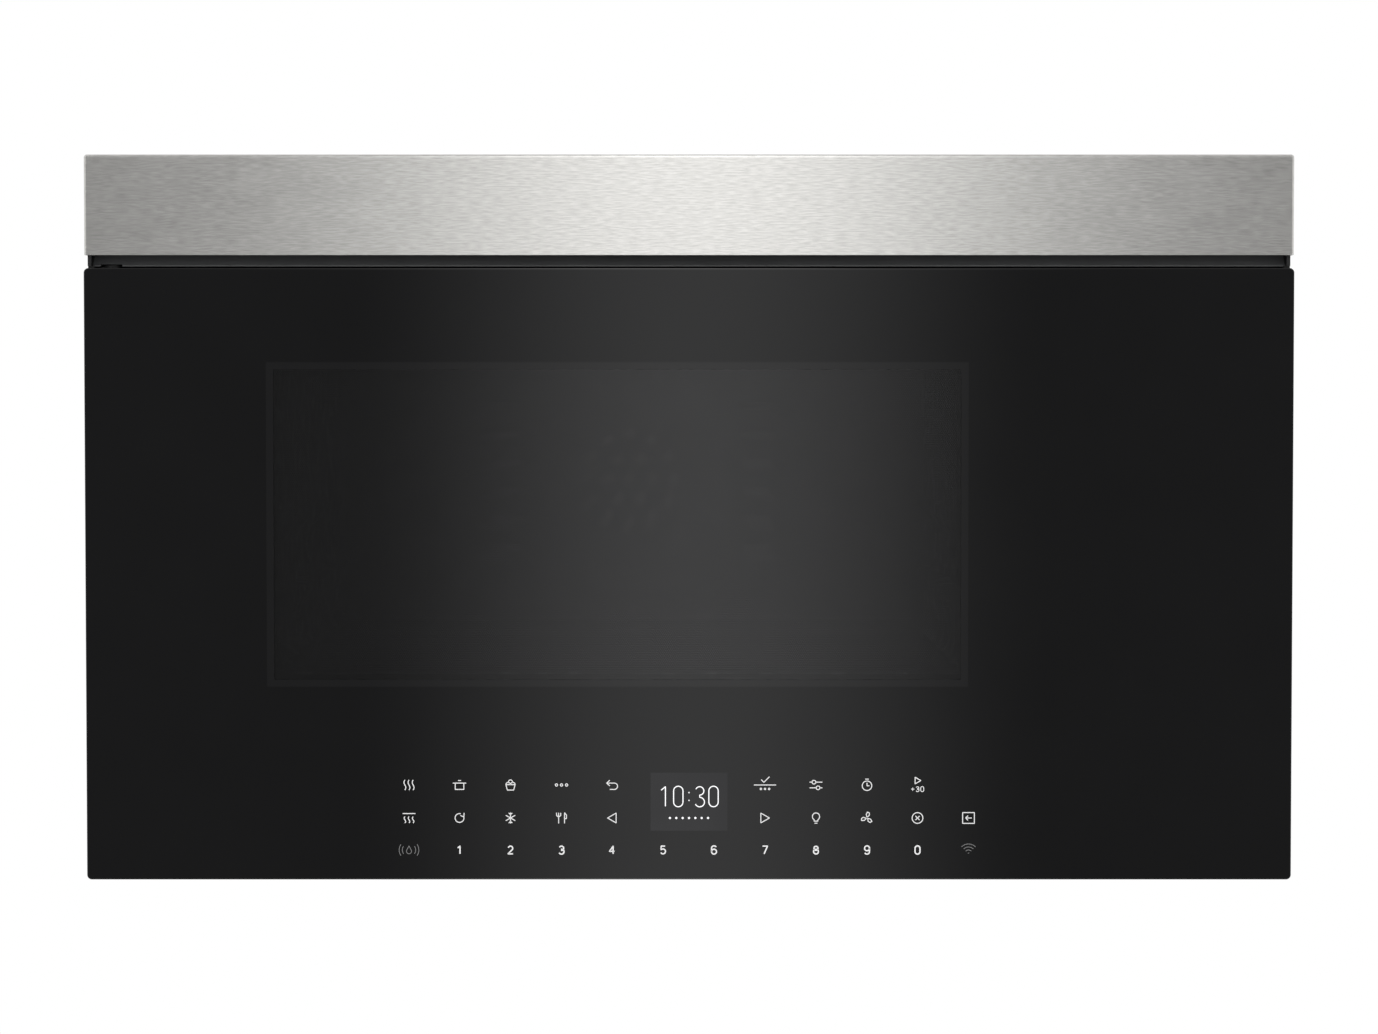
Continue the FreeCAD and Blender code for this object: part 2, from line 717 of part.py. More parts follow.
def element_ends():
    """Where the grill element's two ends pass the roof."""
    return grown(cavity["x"], -element_inset)


def element_y0():
    return cavity_centre_y + 1.5 * element_pitch


def make_grill_element():
    """Sheathed grill element: four runs under the roof joined by bends, with both ends up through it."""
    z = cavity["z"][1] - element_drop
    lift = cavity_roof + 10
    left_x, right_x = element_ends()
    bend = 10.0
    rows = [element_y0() - i * element_pitch for i in range(4)]
    points = [(left_x, rows[0], lift), (left_x, rows[0], z), (left_x, rows[3], z),
              (left_x + element_pitch, rows[3], z), (left_x + element_pitch, rows[0] - 20, z),
              (right_x - element_pitch, rows[0] - 20, z), (right_x - element_pitch, rows[3], z),
              (right_x, rows[3], z), (right_x, rows[0], z), (right_x, rows[0], lift)]
    return pipe(points, element_radius, bend)


# ------------------------------------------------------------------ convection fan behind the cavity
pan_width = 232.0
pan_height = 176.0
pan_depth = 30.0
pan_front = cavity["y"][1] + cavity_sheet
pan_back = pan_front + pan_depth
convection_radius = 66.0
fan_blades = 8
convection_motor_radius = 30.0


def make_convection_housing():
    """Pressed pan on the cavity's back wall that the hot-air fan turns in."""
    outer = panel(span(cavity_middle, pan_width), span(convection_z, pan_height), (pan_front, pan_back), 24)
    flange = panel(span(cavity_middle, pan_width + 20), span(convection_z, pan_height + 20),
                   (pan_front, pan_front + cavity_sheet), 10)
    room = panel(span(cavity_middle, pan_width - 2 * cavity_sheet),
                 span(convection_z, pan_height - 2 * cavity_sheet),
                 (pan_front - 1, pan_back - cavity_sheet), 24 - cavity_sheet)
    hole = rod(6.0, (cavity_middle, pan_back - 3, convection_z), (cavity_middle, pan_back + 1, convection_z))
    return cut_all(fuse_all([outer, flange]), [room, hole])


def make_convection_heater():
    """Ring heater round the fan, with both ends out through the pan's back."""
    ring_radius = 76.0
    y = pan_front + 9
    ring = Part.makeTorus(ring_radius, element_radius, V(cavity_middle, y, convection_z), V(0, 1, 0))
    gap = block(span(cavity_middle, 16), (y - 6, y + 6),
                (convection_z + ring_radius - 10, convection_z + ring_radius + 10))
    ring = ring.cut(gap)
    z = convection_z + ring_radius
    legs = [rod(element_radius, (x, y - element_radius, z), (x, pan_back - cavity_sheet, z))
            for x in (cavity_middle - 9, cavity_middle + 9)]
    return fuse_all([ring] + legs)


def make_convection_motor():
    """Flat shaded-pole motor on the back of the pan."""
    back = pan_back + 27
    body = rod(convection_motor_radius, (cavity_middle, pan_back, convection_z),
               (cavity_middle, back, convection_z))
    body = body.makeChamfer(3.0, [e for e in body.Edges if near(e.CenterOfMass.y, back)])
    ears = panel(span(cavity_middle, 92), span(convection_z, 16), (pan_back, pan_back + 2), 7.9)
    stub = rod(motor_shaft, (cavity_middle, pan_front + 12, convection_z),
               (cavity_middle, pan_back, convection_z))
    return fuse_all([body, ears, stub])


def make_convection_fan():
    """Pressed hot-air fan: a disc with straight blades, on the motor's shaft."""
    disc_y = (pan_front + 5, pan_front + 6)
    disc = rod(convection_radius, (cavity_middle, disc_y[0], convection_z),
               (cavity_middle, disc_y[1], convection_z))
    hub = rod(7.0, (cavity_middle, disc_y[1], convection_z), (cavity_middle, disc_y[1] + 17, convection_z))
    bore = rod(motor_shaft + pin_clearance, (cavity_middle, disc_y[0] + 5, convection_z),
               (cavity_middle, disc_y[1] + 18, convection_z))
    parts = [disc, hub]
    for i in range(fan_blades):
        blade = block((0, 0.9), (disc_y[0] + 0.5, disc_y[1] + 14), (22, convection_radius - 1))
        blade.rotate(V(0, 0, 22), V(0, 1, 0), 20)
        blade.rotate(V(0, 0, 0), V(0, 1, 0), i * 360 / fan_blades)
        blade.translate(V(cavity_middle, 0, convection_z))
        parts.append(blade)
    return fuse_all(parts).cut(bore)


# ------------------------------------------------------- microwave feed under and beside the cavity
magnetron_x = cavity["x"][1] + cavity_sheet + 57
magnetron_y = cavity_centre_y
service_x = (magnetron_x + 50 + inside_right) / 2  # middle of the bay beside the magnetron
antenna_radius = 8.0
power_length = 160.0
power_height = 130.0
power_standoff = 6.0
power_setback = 30.0  # behind the front frame
power_drop = 30.0  # board's lower edge under the cavity's middle height


def make_stirrer_well():
    """Shallow pan welded under the cavity floor, where the stirrer turns."""
    x, y = well["x"], well["y"]
    high = cavity["z"][0] - cavity_sheet
    outer = tray(grown(x, cavity_sheet), grown(y, cavity_sheet), (well_bottom, high), 12 + cavity_sheet)
    flange = tray(grown(x, 10), grown(y, 10), (high - cavity_sheet, high), 14)
    room = tray(x, y, (well_bottom + cavity_sheet, high + 1), 12)
    feed = rod(24.0, (cavity_middle, cavity_centre_y, well_bottom - 1),
               (cavity_middle, cavity_centre_y, well_bottom + 2))
    return cut_all(fuse_all([outer, flange]), [room, feed])


def make_waveguide():
    """Rectangular duct from the magnetron to the middle of the cavity floor."""
    x = (cavity_middle - 50, magnetron_x + 50)
    y = span(cavity_centre_y, waveguide_width)
    z = (waveguide_bottom, waveguide_top)
    duct_body = block(x, y, z)
    room = block(grown(x, -1), grown(y, -1), grown(z, -1))
    feed = rod(24.0, (cavity_middle, cavity_centre_y, z[1] - 2), (cavity_middle, cavity_centre_y, z[1] + 1))
    antenna = rod(antenna_radius + 2, (magnetron_x, magnetron_y, z[1] - 2),
                  (magnetron_x, magnetron_y, z[1] + 1))
    shaft = rod(stirrer_shaft + 1, (cavity_middle, cavity_centre_y, z[0] - 1),
                (cavity_middle, cavity_centre_y, z[0] + 2))
    return cut_all(duct_body, [room, feed, antenna, shaft])


def make_mode_stirrer():
    """Three-lobed metal stirrer on a plastic spindle that drops over the motor's shaft."""
    z = (well_bottom + 9, well_bottom + 10)
    lobes = []
    for i in range(3):
        lobe = tray((0, stirrer_radius), (-24, 24), z, 10.0)
        lobe.rotate(V(0, 0, 0), V(0, 0, 1), i * 120)
        lobes.append(lobe)
    spindle = rod(stirrer_shaft, (0, 0, waveguide_bottom + 2), (0, 0, z[1] + 4))
    hub = rod(9.0, (0, 0, z[0] - 3), (0, 0, z[0]))
    whole = fuse_all(lobes + [spindle, hub])
    whole = whole.cut(rod(motor_shaft + pin_clearance, (0, 0, waveguide_bottom),
                          (0, 0, waveguide_bottom + 16)))
    whole.translate(V(cavity_middle, cavity_centre_y, 0))
    return whole


def make_stirrer_motor():
    """Small synchronous motor under the waveguide."""
    x, y = cavity_middle, cavity_centre_y
    can = rod(stirrer_motor_radius, (x, y, waveguide_bottom - stirrer_motor_height), (x, y, waveguide_bottom))
    ears = tray(span(x, 68), span(y, 14), (waveguide_bottom - 1, waveguide_bottom), 6.9)
    shaft = rod(motor_shaft, (x, y, waveguide_bottom), (x, y, waveguide_bottom + 15))
    return fuse_all([can, ears, shaft])


def make_magnetron():
    """Magnetron on the waveguide: antenna, steel yoke round cooling fins, and the filter box on top."""
    x, y = magnetron_x, magnetron_y
    base = waveguide_top
    width, depth, yoke_height = 84.0, 74.0, 66.0
    parts = [block(span(x, width), span(y, depth), (base, base + 2)),
             block(span(x, width), span(y, depth), (base + yoke_height - 2, base + yoke_height))]
    for side in (-1, 1):
        parts.append(block(span(x + side * (width / 2 - 1), 2), span(y, depth), (base, base + yoke_height)))
    for i in range(6):
        fin = base + 13 + i * 8
        parts.append(block(span(x, width - 4), span(y, depth - 6), (fin, fin + 1)))
    parts.append(rod(18.0, (x, y, base + 2), (x, y, base + yoke_height - 2)))
    parts.append(rod(antenna_radius, (x, y, base - 20), (x, y, base)))
    parts.append(block(span(x, width - 20), span(y, depth - 14),
                       (base + yoke_height, base + yoke_height + 36)))
    return fuse_all(parts)


cooling_y = (magnetron_y + 42, magnetron_y + 67)
cooling_z = waveguide_top + 48
cooling_radius = 40.0


def make_cooling_shroud():
    """Square fan frame behind the magnetron, with its motor on four struts and a foot on the deck."""
    frame = panel(span(magnetron_x, 92), span(cooling_z, 92), cooling_y, 5)
    mouth = rod(cooling_radius + 2, (magnetron_x, cooling_y[0] - 1, cooling_z),
                (magnetron_x, cooling_y[1] + 1, cooling_z))
    frame = frame.cut(mouth)
    motor = rod(16.0, (magnetron_x, cooling_y[1] - 8, cooling_z), (magnetron_x, cooling_y[1], cooling_z))
    shaft = rod(motor_shaft, (magnetron_x, cooling_y[0] + 4, cooling_z),
                (magnetron_x, cooling_y[1] - 8, cooling_z))
    parts = [frame, motor, shaft]
    for i in range(4):
        strut = block((14, cooling_radius + 3), (cooling_y[1] - 3, cooling_y[1]), (-1.5, 1.5))
        strut.rotate(V(0, 0, 0), V(0, 1, 0), 45 + i * 90)
        strut.translate(V(magnetron_x, 0, cooling_z))
        parts.append(strut)
    parts.append(block(span(magnetron_x, 80), (cooling_y[0] + 6, cooling_y[1] - 6),
                       (deck_top, cooling_z - 45)))
    return fuse_all(parts)


def make_cooling_fan():
    """Axial cooling fan with seven pitched blades."""
    y = (cooling_y[0] + 2, cooling_y[1] - 10)
    hub = rod(14.0, (0, y[0], 0), (0, y[1], 0))
    parts = [hub]
    blade_count = 7
    for i in range(blade_count):
        blade = block((-11, 11), span((y[0] + y[1]) / 2, 1.2), (12, cooling_radius - 1))
        blade.rotate(V(0, (y[0] + y[1]) / 2, 0), V(0, 0, 1), 28)
        blade.rotate(V(0, 0, 0), V(0, 1, 0), i * 360 / blade_count)
        parts.append(blade)
    edge = rod(cooling_radius, (0, y[0] - 5, 0), (0, y[1] + 5, 0))
    wheel = fuse_all(parts).common(edge)
    wheel = wheel.cut(rod(motor_shaft + pin_clearance, (0, y[0] + 1, 0), (0, y[1] + 1, 0)))
    wheel.translate(V(magnetron_x, 0, cooling_z))
    return wheel


def make_transformer():
    """High-voltage transformer on the deck: a laminated core with a winding through it."""
    x = span(service_x, transformer_width)
    y = (frame_back + transformer_setback, frame_back + transformer_setback + transformer_length)
    z = (deck_top, deck_top + transformer_height)
    core = block(x, y, z)
    foot = block(grown(x, 4), grown(y, 5), (deck_top, deck_top + transformer_foot))
    coil = tray(grown(x, coil_overhang), grown(y, -coil_end), grown(z, -coil_drop), 8)
    return fuse_all([core, foot, coil])


def make_capacitor():
    """Oval high-voltage capacitor that stands on the deck, with two blade terminals."""
    x = span(service_x, capacitor_width)
    y = span(cooling_y[1] + capacitor_from_fan, capacitor_depth)
    can_top = deck_top + capacitor_height
    can = tray(x, y, (deck_top, can_top), capacitor_depth / 2 - 0.1)
    width, thickness, height = blade_terminal
    tabs = [block(span(tx, width), span(sum(y) / 2, thickness), (can_top, can_top + height))
            for tx in grown(x, -terminal_inset)]
    return fuse_all([can] + tabs)


def make_power_board():
    """Power and relay board on the right-hand side of the case, with relays, choke and fuse."""
    face = inside_right - power_standoff - board_thickness
    x = (face, inside_right - power_standoff)
    y = (frame_back + power_setback, frame_back + power_setback + power_length)
    z = (cavity_centre_z - power_drop, cavity_centre_z - power_drop + power_height)
    parts = [block(x, y, z)]
    for py in grown(y, -8):
        for pz in grown(z, -8):
            parts.append(rod(3.0, (x[1], py, pz), (inside_right, py, pz)))
    relay_out, relay_length, relay_height = relay_size
    for i in range(relay_count):
        start = y[0] + relay_length + i * relay_pitch
        parts.append(block((face - relay_out, face), (start, start + relay_length),
                           (z[0] + board_margin, z[0] + board_margin + relay_height)))
    out, length, height = choke_size
    parts.append(block((face - out, face), (y[0] + choke_setback, y[0] + choke_setback + length),
                       (z[0] + board_margin - 2, z[0] + board_margin - 2 + height)))
    out, length, height = supply_size
    parts.append(block((face - out, face), (y[0] + length / 2, y[0] + 1.5 * length),
                       (z[1] - board_margin - height, z[1] - board_margin)))
    fuse_y, fuse_z = y[0] + fuse_place[0], z[1] - fuse_place[1]
    parts.append(rod(fuse_radius, (face - fuse_length, fuse_y, fuse_z), (face, fuse_y, fuse_z)))
    return fuse_all(parts)


# ------------------------------------------------------------------ vent blower and outlet
blower_y = sum(duct["y"]) / 2
scroll_radius = wheel_radius + wheel_tip_gap + 3 * scroll_growth
blower_z = cavity_roof + blower_lift + blower_sheet + scroll_radius
blower_x = {side: tuple(sorted((side * blower_motor_length / 2,
                                side * (blower_motor_length / 2 + blower_length))))
            for side in (-1, 1)}


def scroll_corners(grow):
    """Edges of the scroll: quarter arcs whose radius shrinks from the back wall round to the tongue."""
    r1 = scroll_radius
    r2 = r1 - scroll_growth
    r3 = r2 - scroll_growth
    c1 = (blower_y, blower_z)
    c2 = (blower_y, blower_z - r1 + r2)
    c3 = (blower_y - r2 + r3, c2[1])
    back = (c1[0] + r1 + grow, c1[1])
    low = (c1[0], c1[1] - r1 - grow)
    fore = (c2[0] - r2 - grow, c2[1])
    turn = math.radians(112)
    tongue = (c3[0] + (r3 + grow) * math.cos(turn), c3[1] + (r3 + grow) * math.sin(turn))
    arcs = [(c1, r1 + grow, -45, back, low), (c2, r2 + grow, -135, low, fore),
            (c3, r3 + grow, 146, fore, tongue)]
    return arcs, back, tongue


def scroll(grow, x, height):
    """A solid scroll between two X levels, open upwards to a height."""
    arcs, back, tongue = scroll_corners(grow)
    edges = []
    for centre, radius, middle_turn, start, end in arcs:
        turn = math.radians(middle_turn)
        middle = (centre[0] + radius * math.cos(turn), centre[1] + radius * math.sin(turn))
        edges.append(Part.Arc(*(V(x[0], p[0], p[1]) for p in (start, middle, end))).toShape())
    corner = (duct["y"][0] - grow, height)
    chain = [tongue, corner, (back[0], height), back]
    for a, b in zip(chain, chain[1:]):
        edges.append(Part.makeLine(V(x[0], a[0], a[1]), V(x[0], b[0], b[1])))
    return Part.Face(Part.Wire(edges)).extrude(V(x[1] - x[0], 0, 0))


def make_blower_housings():
    """Two scroll housings, one each side of the motor, open at the top and round the inlets."""
    made = []
    for side in (-1, 1):
        x = blower_x[side]
        shell = scroll(blower_sheet, x, inside_top)
        room = scroll(0, grown(x, -blower_sheet), inside_top + 1)
        inlet = rod(wheel_radius - 6, (x[0] - 1, blower_y, blower_z), (x[1] + 1, blower_y, blower_z))
        made.append(cut_all(shell, [room, inlet]))
    return Part.makeCompound(made)


def make_blower_motor():
    """Double-shaft vent motor held between the two housings."""
    half = blower_motor_length / 2
    can = rod(wheel_radius - 1, (-half, blower_y, blower_z), (half, blower_y, blower_z))
    can = can.makeChamfer(4.0, [e for e in can.Edges if near(abs(e.CenterOfMass.x), half)])
    bore = rod(4.0 + pin_clearance, (-half - 1, blower_y, blower_z), (half + 1, blower_y, blower_z))
    return can.cut(bore)


def blade(radius, x):
    """One forward-curved blade of the cage, between two X levels, at the top of the wheel."""
    inner, depth, thickness = radius - 8.0, 8.0, 0.9
    curve = 7.0
    start, end = V(x[0], 0, inner), V(x[0], 3.5, inner + depth)
    middle = (start + end) * 0.5 + V(0, -1.4, 0.6)
    back_shift = V(0, thickness, 0)
    edges = [Part.Arc(start, middle, end).toShape(), Part.makeLine(end, end + back_shift),
             Part.Arc(end + back_shift, middle + back_shift, start + back_shift).toShape(),
             Part.makeLine(start + back_shift, start)]
    return Part.Face(Part.Wire(edges)).extrude(V(x[1] - x[0], 0, 0))


def make_blower_rotor():
    """Shaft with a squirrel-cage wheel on each side: end rings, a web and forward-curved blades."""
    made = []
    for side in (-1, 1):
        x = grown(blower_x[side], -blower_sheet - wheel_end_gap)
        web_x = span(sum(x) / 2, 1.6)
        web = rod(wheel_radius, (web_x[0], 0, 0), (web_x[1], 0, 0))
        hub = rod(9.0, (web_x[0] - 8, 0, 0), (web_x[1] + 8, 0, 0))
        cage = []
        for i in range(blower_blades):
            one = blade(wheel_radius - 0.8, x)
            one.rotate(V(0, 0, 0), V(1, 0, 0), i * 360 / blower_blades)
            cage.append(one)
        rings = []
        for ring_x in ((x[0], x[0] + 2.5), (x[1] - 2.5, x[1])):
            ring = rod(wheel_radius, (ring_x[0], 0, 0), (ring_x[1], 0, 0))
            rings.append(ring.cut(rod(wheel_radius - 9, (ring_x[0] - 1, 0, 0), (ring_x[1] + 1, 0, 0))))
        wheel = fuse_all([web, hub] + rings + cage)
        wheel = wheel.cut(rod(4.0, (x[0] - 1, 0, 0), (x[1] + 1, 0, 0)))
        made.append(wheel)
    reach = blower_x[1][1] - blower_sheet - wheel_end_gap
    made.append(rod(4.0, (-reach, 0, 0), (reach, 0, 0)))
    group = Part.makeCompound(made)
    group.translate(V(0, blower_y, blower_z))
    return group


flap_z = case_top + case_sheet + collar_height * 0.45
flap_axis_y = duct["y"][0] + collar_sheet + 3.5
flap_pin = 1.5


def make_exhaust_adapter():
    """Outlet plate with its collar, and the stop spot-welded into it for the damper flap."""
    plate_z = (case_top, case_top + case_sheet)
    rim_z = (case_top + case_sheet, case_top + case_sheet + collar_height)
    plate = tray(grown(duct["x"], 16), grown(duct["y"], 12), plate_z, 4)
    collar = block(duct["x"], duct["y"], (plate_z[0], rim_z[1]))
    hole = block(grown(duct["x"], -collar_sheet), grown(duct["y"], -collar_sheet),
                 (plate_z[0] - 1, rim_z[1] + 1))
    ledge_z = (flap_z - running_gap - 1.5, flap_z - running_gap)
    ledge = block(grown(duct["x"], -collar_sheet), (flap_axis_y + 4, duct["y"][1] - collar_sheet), ledge_z)
    ledge_hole = block(grown(duct["x"], -collar_sheet - 5), (flap_axis_y, duct["y"][1] - collar_sheet - 5),
                       grown(ledge_z, 1))
    bores = rod(flap_pin + 0.15, (duct["x"][0] - 1, flap_axis_y, flap_z + flap_thickness / 2),
                (duct["x"][1] + 1, flap_axis_y, flap_z + flap_thickness / 2))
    whole = fuse_all([plate, collar]).cut(hole).cut(bores)
    return Part.makeCompound([whole, ledge.cut(ledge_hole)])


def make_damper_flap():
    """Damper that lies shut under its own weight and is blown open by the vent air."""
    gap = 1.2
    x = grown(duct["x"], -collar_sheet - gap)
    y = (flap_axis_y - flap_pin, duct["y"][1] - collar_sheet - gap)
    leaf = block(x, y, (flap_z, flap_z + flap_thickness))
    pin = rod(flap_pin, (duct["x"][0], flap_axis_y, flap_z + flap_thickness / 2),
              (duct["x"][1], flap_axis_y, flap_z + flap_thickness / 2))
    beads = [block(span(bx, 5), (y[0] + 14, y[1] - 10),
                   (flap_z + flap_thickness, flap_z + flap_thickness + 1.2))
             for bx in (-70, 0, 70)]
    return fuse_all([leaf, pin] + beads)


def make_light_lenses():
    """Two frosted lenses over the worktop lights, each with a rim that rests in the base."""
    made = []
    for side in (-1, 1):
        rim = tray(lens_x[side], lens_y, (inside_bottom, inside_bottom + 1.6), 5)
        dome = tray(grown(lens_x[side], -4 - running_gap), grown(lens_y, -4 - running_gap),
                    (case_bottom, inside_bottom), 2.7)
        made.append(fuse_all([rim, dome]))
    return Part.makeCompound(made)


def make_light_boards():
    """Light module over each lens: a board with three emitters and a box lid."""
    made = []
    for side in (-1, 1):
        z = inside_bottom + 1.6
        lid = tray(lens_x[side], lens_y, (z, z + 14), 5)
        room = tray(grown(lens_x[side], -2), grown(lens_y, -2), (z - 1, z + 11), 3)
        lamps = [block(span(sum(lens_x[side]) / 2 + dx, 5), span(sum(lens_y) / 2, 5), (z + 9, z + 11))
                 for dx in (-24, 0, 24)]
        made.append(fuse_all([lid.cut(room)] + lamps))
    return Part.makeCompound(made)


def make_grease_filter(side):
    """Aluminium grease filter: a folded rim round layers of mesh, two rear tabs and a pull tab."""
    x, y = filter_x[side], filter_y
    z = (case_bottom, case_bottom + filter_thickness)
    rim = tray(x, y, z, 4).cut(tray(grown(x, -filter_rim), grown(y, -filter_rim), grown(z, 1), 3))
    mesh = tray(grown(x, -filter_rim + 0.5), grown(y, -filter_rim + 0.5), grown(z, -2), 3)
    ribs = []
    count = int((filter_width - 2 * filter_rim) / filter_rib_pitch)
    start = sum(x) / 2 - (count - 1) * filter_rib_pitch / 2
    for i in range(count):
        ribs.append(block(span(start + i * filter_rib_pitch, filter_rib_width), grown(y, -filter_rim),
                          (z[0] + 0.8, z[0] + 2.2)))
    tabs = [block(span(sum(x) / 2 + dx, 24), (y[1] - 2, y[1] + filter_gap + 6),
                  (inside_bottom + running_gap, inside_bottom + running_gap + 1.0)) for dx in (-50, 50)]
    pull = block(span(sum(x) / 2, 22), (y[0] + 1.5, y[0] + 7.5), (z[0] - 0.9, z[0]))
    return fuse_all([rim, mesh] + ribs + tabs + [pull])


# ------------------------------------------------------------------ door
door = {"x": (left, right), "z": (bottom, door_top)}
frame_box = {"x": grown(door["x"], -case_inset), "z": grown(door["z"], -case_inset)}
door_room = {"x": grown(frame_box["x"], -door_wall), "z": grown(frame_box["z"], -door_wall)}
pocket_top = bottom + hinge_pocket_height + 1.0
pocket_x = (case_left - 1, hinge_x + hinge_radius)
pocket_y = (hinge_y - hinge_radius, door_back + 1)


def make_door_glass():
    """The whole front of the door: one sheet of dark glass with eased edges."""
    sheet = panel(door["x"], door["z"], (front, glass_back), glass_corner)
    rim = edges_at(sheet, lambda p: near(p.y, front))
    return sheet.makeFillet(glass_edge, rim)


def frame_section(inset, low, high):
    """The door frame's plan, rounded about the hinge pin at its back left corner."""
    x = grown(frame_box["x"], -inset)
    round_back = hinge_radius - inset
    return prism([(x[0], glass_back), (x[1], glass_back), (x[1], door_back - inset),
                  (x[0], door_back - inset, round_back)], "xy", (low, high))


def make_door_frame():
    """Moulded frame behind the glass, rounded on the hinge side, with a pocket for the lower arm."""
    z = frame_box["z"]
    outer = frame_section(0, *z)
    room = frame_section(door_wall, *door_room["z"])
    back_hole = block((hinge_x, door_room["x"][1]), (door_back - door_wall - 1, door_back + 1),
                      door_room["z"])
    front_hole = block(door_room["x"], (glass_back - 1, glass_back + 1), door_room["z"])
    shell = cut_all(outer, [room, back_hole, front_hole])
    pocket = block(pocket_x, pocket_y, (bottom - 1, pocket_top))
    roof = frame_section(0.5, pocket_top, pocket_top + door_wall)
    roof = roof.common(block(pocket_x, (glass_back, door_back), (bottom, top)))
    wall = block((pocket_x[1], pocket_x[1] + door_wall), (pocket_y[0] - door_wall, door_back - door_wall),
                 (door_room["z"][0], pocket_top + door_wall))
    cheek = block((door_room["x"][0], pocket_x[1] + door_wall), (pocket_y[0] - door_wall, pocket_y[0]),
                  (door_room["z"][0], pocket_top + door_wall))
    shell = fuse_all([shell.cut(pocket), roof, wall, cheek])
    bores = [rod(hinge_pin_radius + bush_wall, (hinge_x, hinge_y, low), (hinge_x, hinge_y, high))
             for low, high in ((pocket_top - 1, pocket_top + door_wall + 1),
                               (door_room["z"][1] - 1, door_top + 1))]
    return cut_all(shell, bores)


def make_hinge_bushes():
    """Flanged bushes in the door's top wall and pocket roof, which turn on the bracket pins."""
    made = []
    flange = 1.5
    for seat, way in ((frame_box["z"][1], -1), (pocket_top, 1)):
        tube_end = seat + way * bush_height
        body = rod(hinge_pin_radius + bush_wall, (hinge_x, hinge_y, seat), (hinge_x, hinge_y, tube_end))
        collar_end = seat - way * min(flange, 0.9)
        collar = rod(hinge_pin_radius + bush_wall + 1.5, (hinge_x, hinge_y, seat),
                     (hinge_x, hinge_y, collar_end))
        bore = rod(hinge_pin_radius + pin_clearance, (hinge_x, hinge_y, seat - way * 5),
                   (hinge_x, hinge_y, tube_end + way * 5))
        made.append(fuse_all([body, collar]).cut(bore))
    return Part.makeCompound(made)


def make_door_panel():
    """Welded steel panel of the door: the screen behind the window and the slotted choke round it."""
    y = (panel_y, panel_y + choke_wall)
    x = grown(door_room["x"], -running_gap)
    z = (choke["z"][0] - 6, door_room["z"][1] - running_gap)
    sheet = panel(x, z, y, 3)
    wall_y = (y[1], door_back - door_back_sheet - 0.3)
    ring = panel(choke["x"], choke["z"], wall_y, 6).cut(
        panel(grown(choke["x"], -choke_wall), grown(choke["z"], -choke_wall), grown(wall_y, 1), 5))
    slots = []
    slot_width, slot_pitch = 5.0, 36.0
    for pair, across in ((choke["x"], choke["z"]), (choke["z"], choke["x"])):
        count = int((pair[1] - pair[0] - 20) / slot_pitch)
        first = sum(pair) / 2 - (count - 1) * slot_pitch / 2
        for i in range(count):
            along = span(first + i * slot_pitch, slot_width)
            for edge in across:
                through = span(edge, 4)
                box = (along, through) if pair is choke["x"] else (through, along)
                slots.append(block(box[0], (wall_y[0] + 3, wall_y[1] + 1), box[1]))
    for slot in hook_slots:
        slots.append(block(slot["x"], grown(y, 1), slot["z"]))
    slots.append(block((x[0] - 1, hinge_x + hinge_pin_radius + bush_wall + 3), grown(y, 1),
                       (door_top - 2 * bush_height, z[1] + 1)))
    cheeks = [block(pair, (y[0] - 8, y[0]), (lower_hook + 25, upper_hook - 15))
              for pair in ((latch_x - latch_thickness / 2 - running_gap - 1.2,
                            latch_x - latch_thickness / 2 - running_gap),
                           (latch_x + latch_thickness / 2 + running_gap,
                            latch_x + latch_thickness / 2 + running_gap + 1.2))]
    return cut_all(fuse_all([sheet, ring] + cheeks), slots)


def make_choke_cover():
    """Black ring that hides the choke and holds the inner glass with a skirt."""
    y = (door_back - door_back_sheet - 0.3, door_back - door_back_sheet - 0.3 + choke_cover_thickness)
    hole = {"x": grown(window["x"], 3), "z": grown(window["z"], 3)}
    ring = panel(grown(choke["x"], 1.5), grown(choke["z"], 1.5), y, 8)
    skirt = panel(grown(hole["x"], 4), grown(hole["z"], 4),
                  (panel_y + choke_wall + inner_glass_thickness, y[0] + 1), 7)
    opening = panel(hole["x"], hole["z"], (panel_y, y[1] + 1), 4)
    whole = fuse_all([ring, skirt]).cut(opening)
    rim = edges_at(whole, lambda p: near(p.y, y[1]))
    return whole.makeChamfer(0.8, rim)


def make_inner_glass():
    """Clear pane on the oven side of the screen."""
    return panel(grown(window["x"], 6.5), grown(window["z"], 6.5),
                 (panel_y + choke_wall, panel_y + choke_wall + inner_glass_thickness), 5)


def make_door_back():
    """Back cover of the door, open round the choke and at the hooks."""
    y = (door_back - door_back_sheet, door_back)
    plate = panel((hinge_x, door_room["x"][1]), door_room["z"], y, 0)
    holes = [panel(grown(choke["x"], 2), grown(choke["z"], 2), grown(y, 1), 8)]
    for slot in hook_slots:
        holes.append(block(slot["x"], grown(y, 1), slot["z"]))
    holes.append(block((pocket_x[0], pocket_x[1] + door_wall + 0.3), grown(y, 1),
                       (bottom, pocket_top + door_wall + 0.3)))
    return cut_all(plate, holes)


def make_touch_board():
    """Capacitive key board bonded behind the glass, with a window for the display."""
    z = (bottom + touch_board_foot, display_z[1] + touch_board_head)
    board_back = glass_back + board_thickness
    board = block(span(0, touch_board_width), (glass_back, board_back), z)
    hole = block(grown(display_x, running_gap), (glass_back - 1, board_back + 1),
                 grown(display_z, running_gap))
    chips = [block(span(cx, chip_size), (board_back, board_back + 2), span(z[0] + 20, chip_size))
             for cx in (-chip_place, chip_place)]
    plug = block(span(chip_place / 2, 30), (board_back, board_back + 6), span(z[0] + 14, 8))
    return fuse_all([board.cut(hole)] + chips + [plug])


display_x = span(0, display_width)
display_z = (window["z"][0] - display_drop - display_height, window["z"][0] - display_drop)


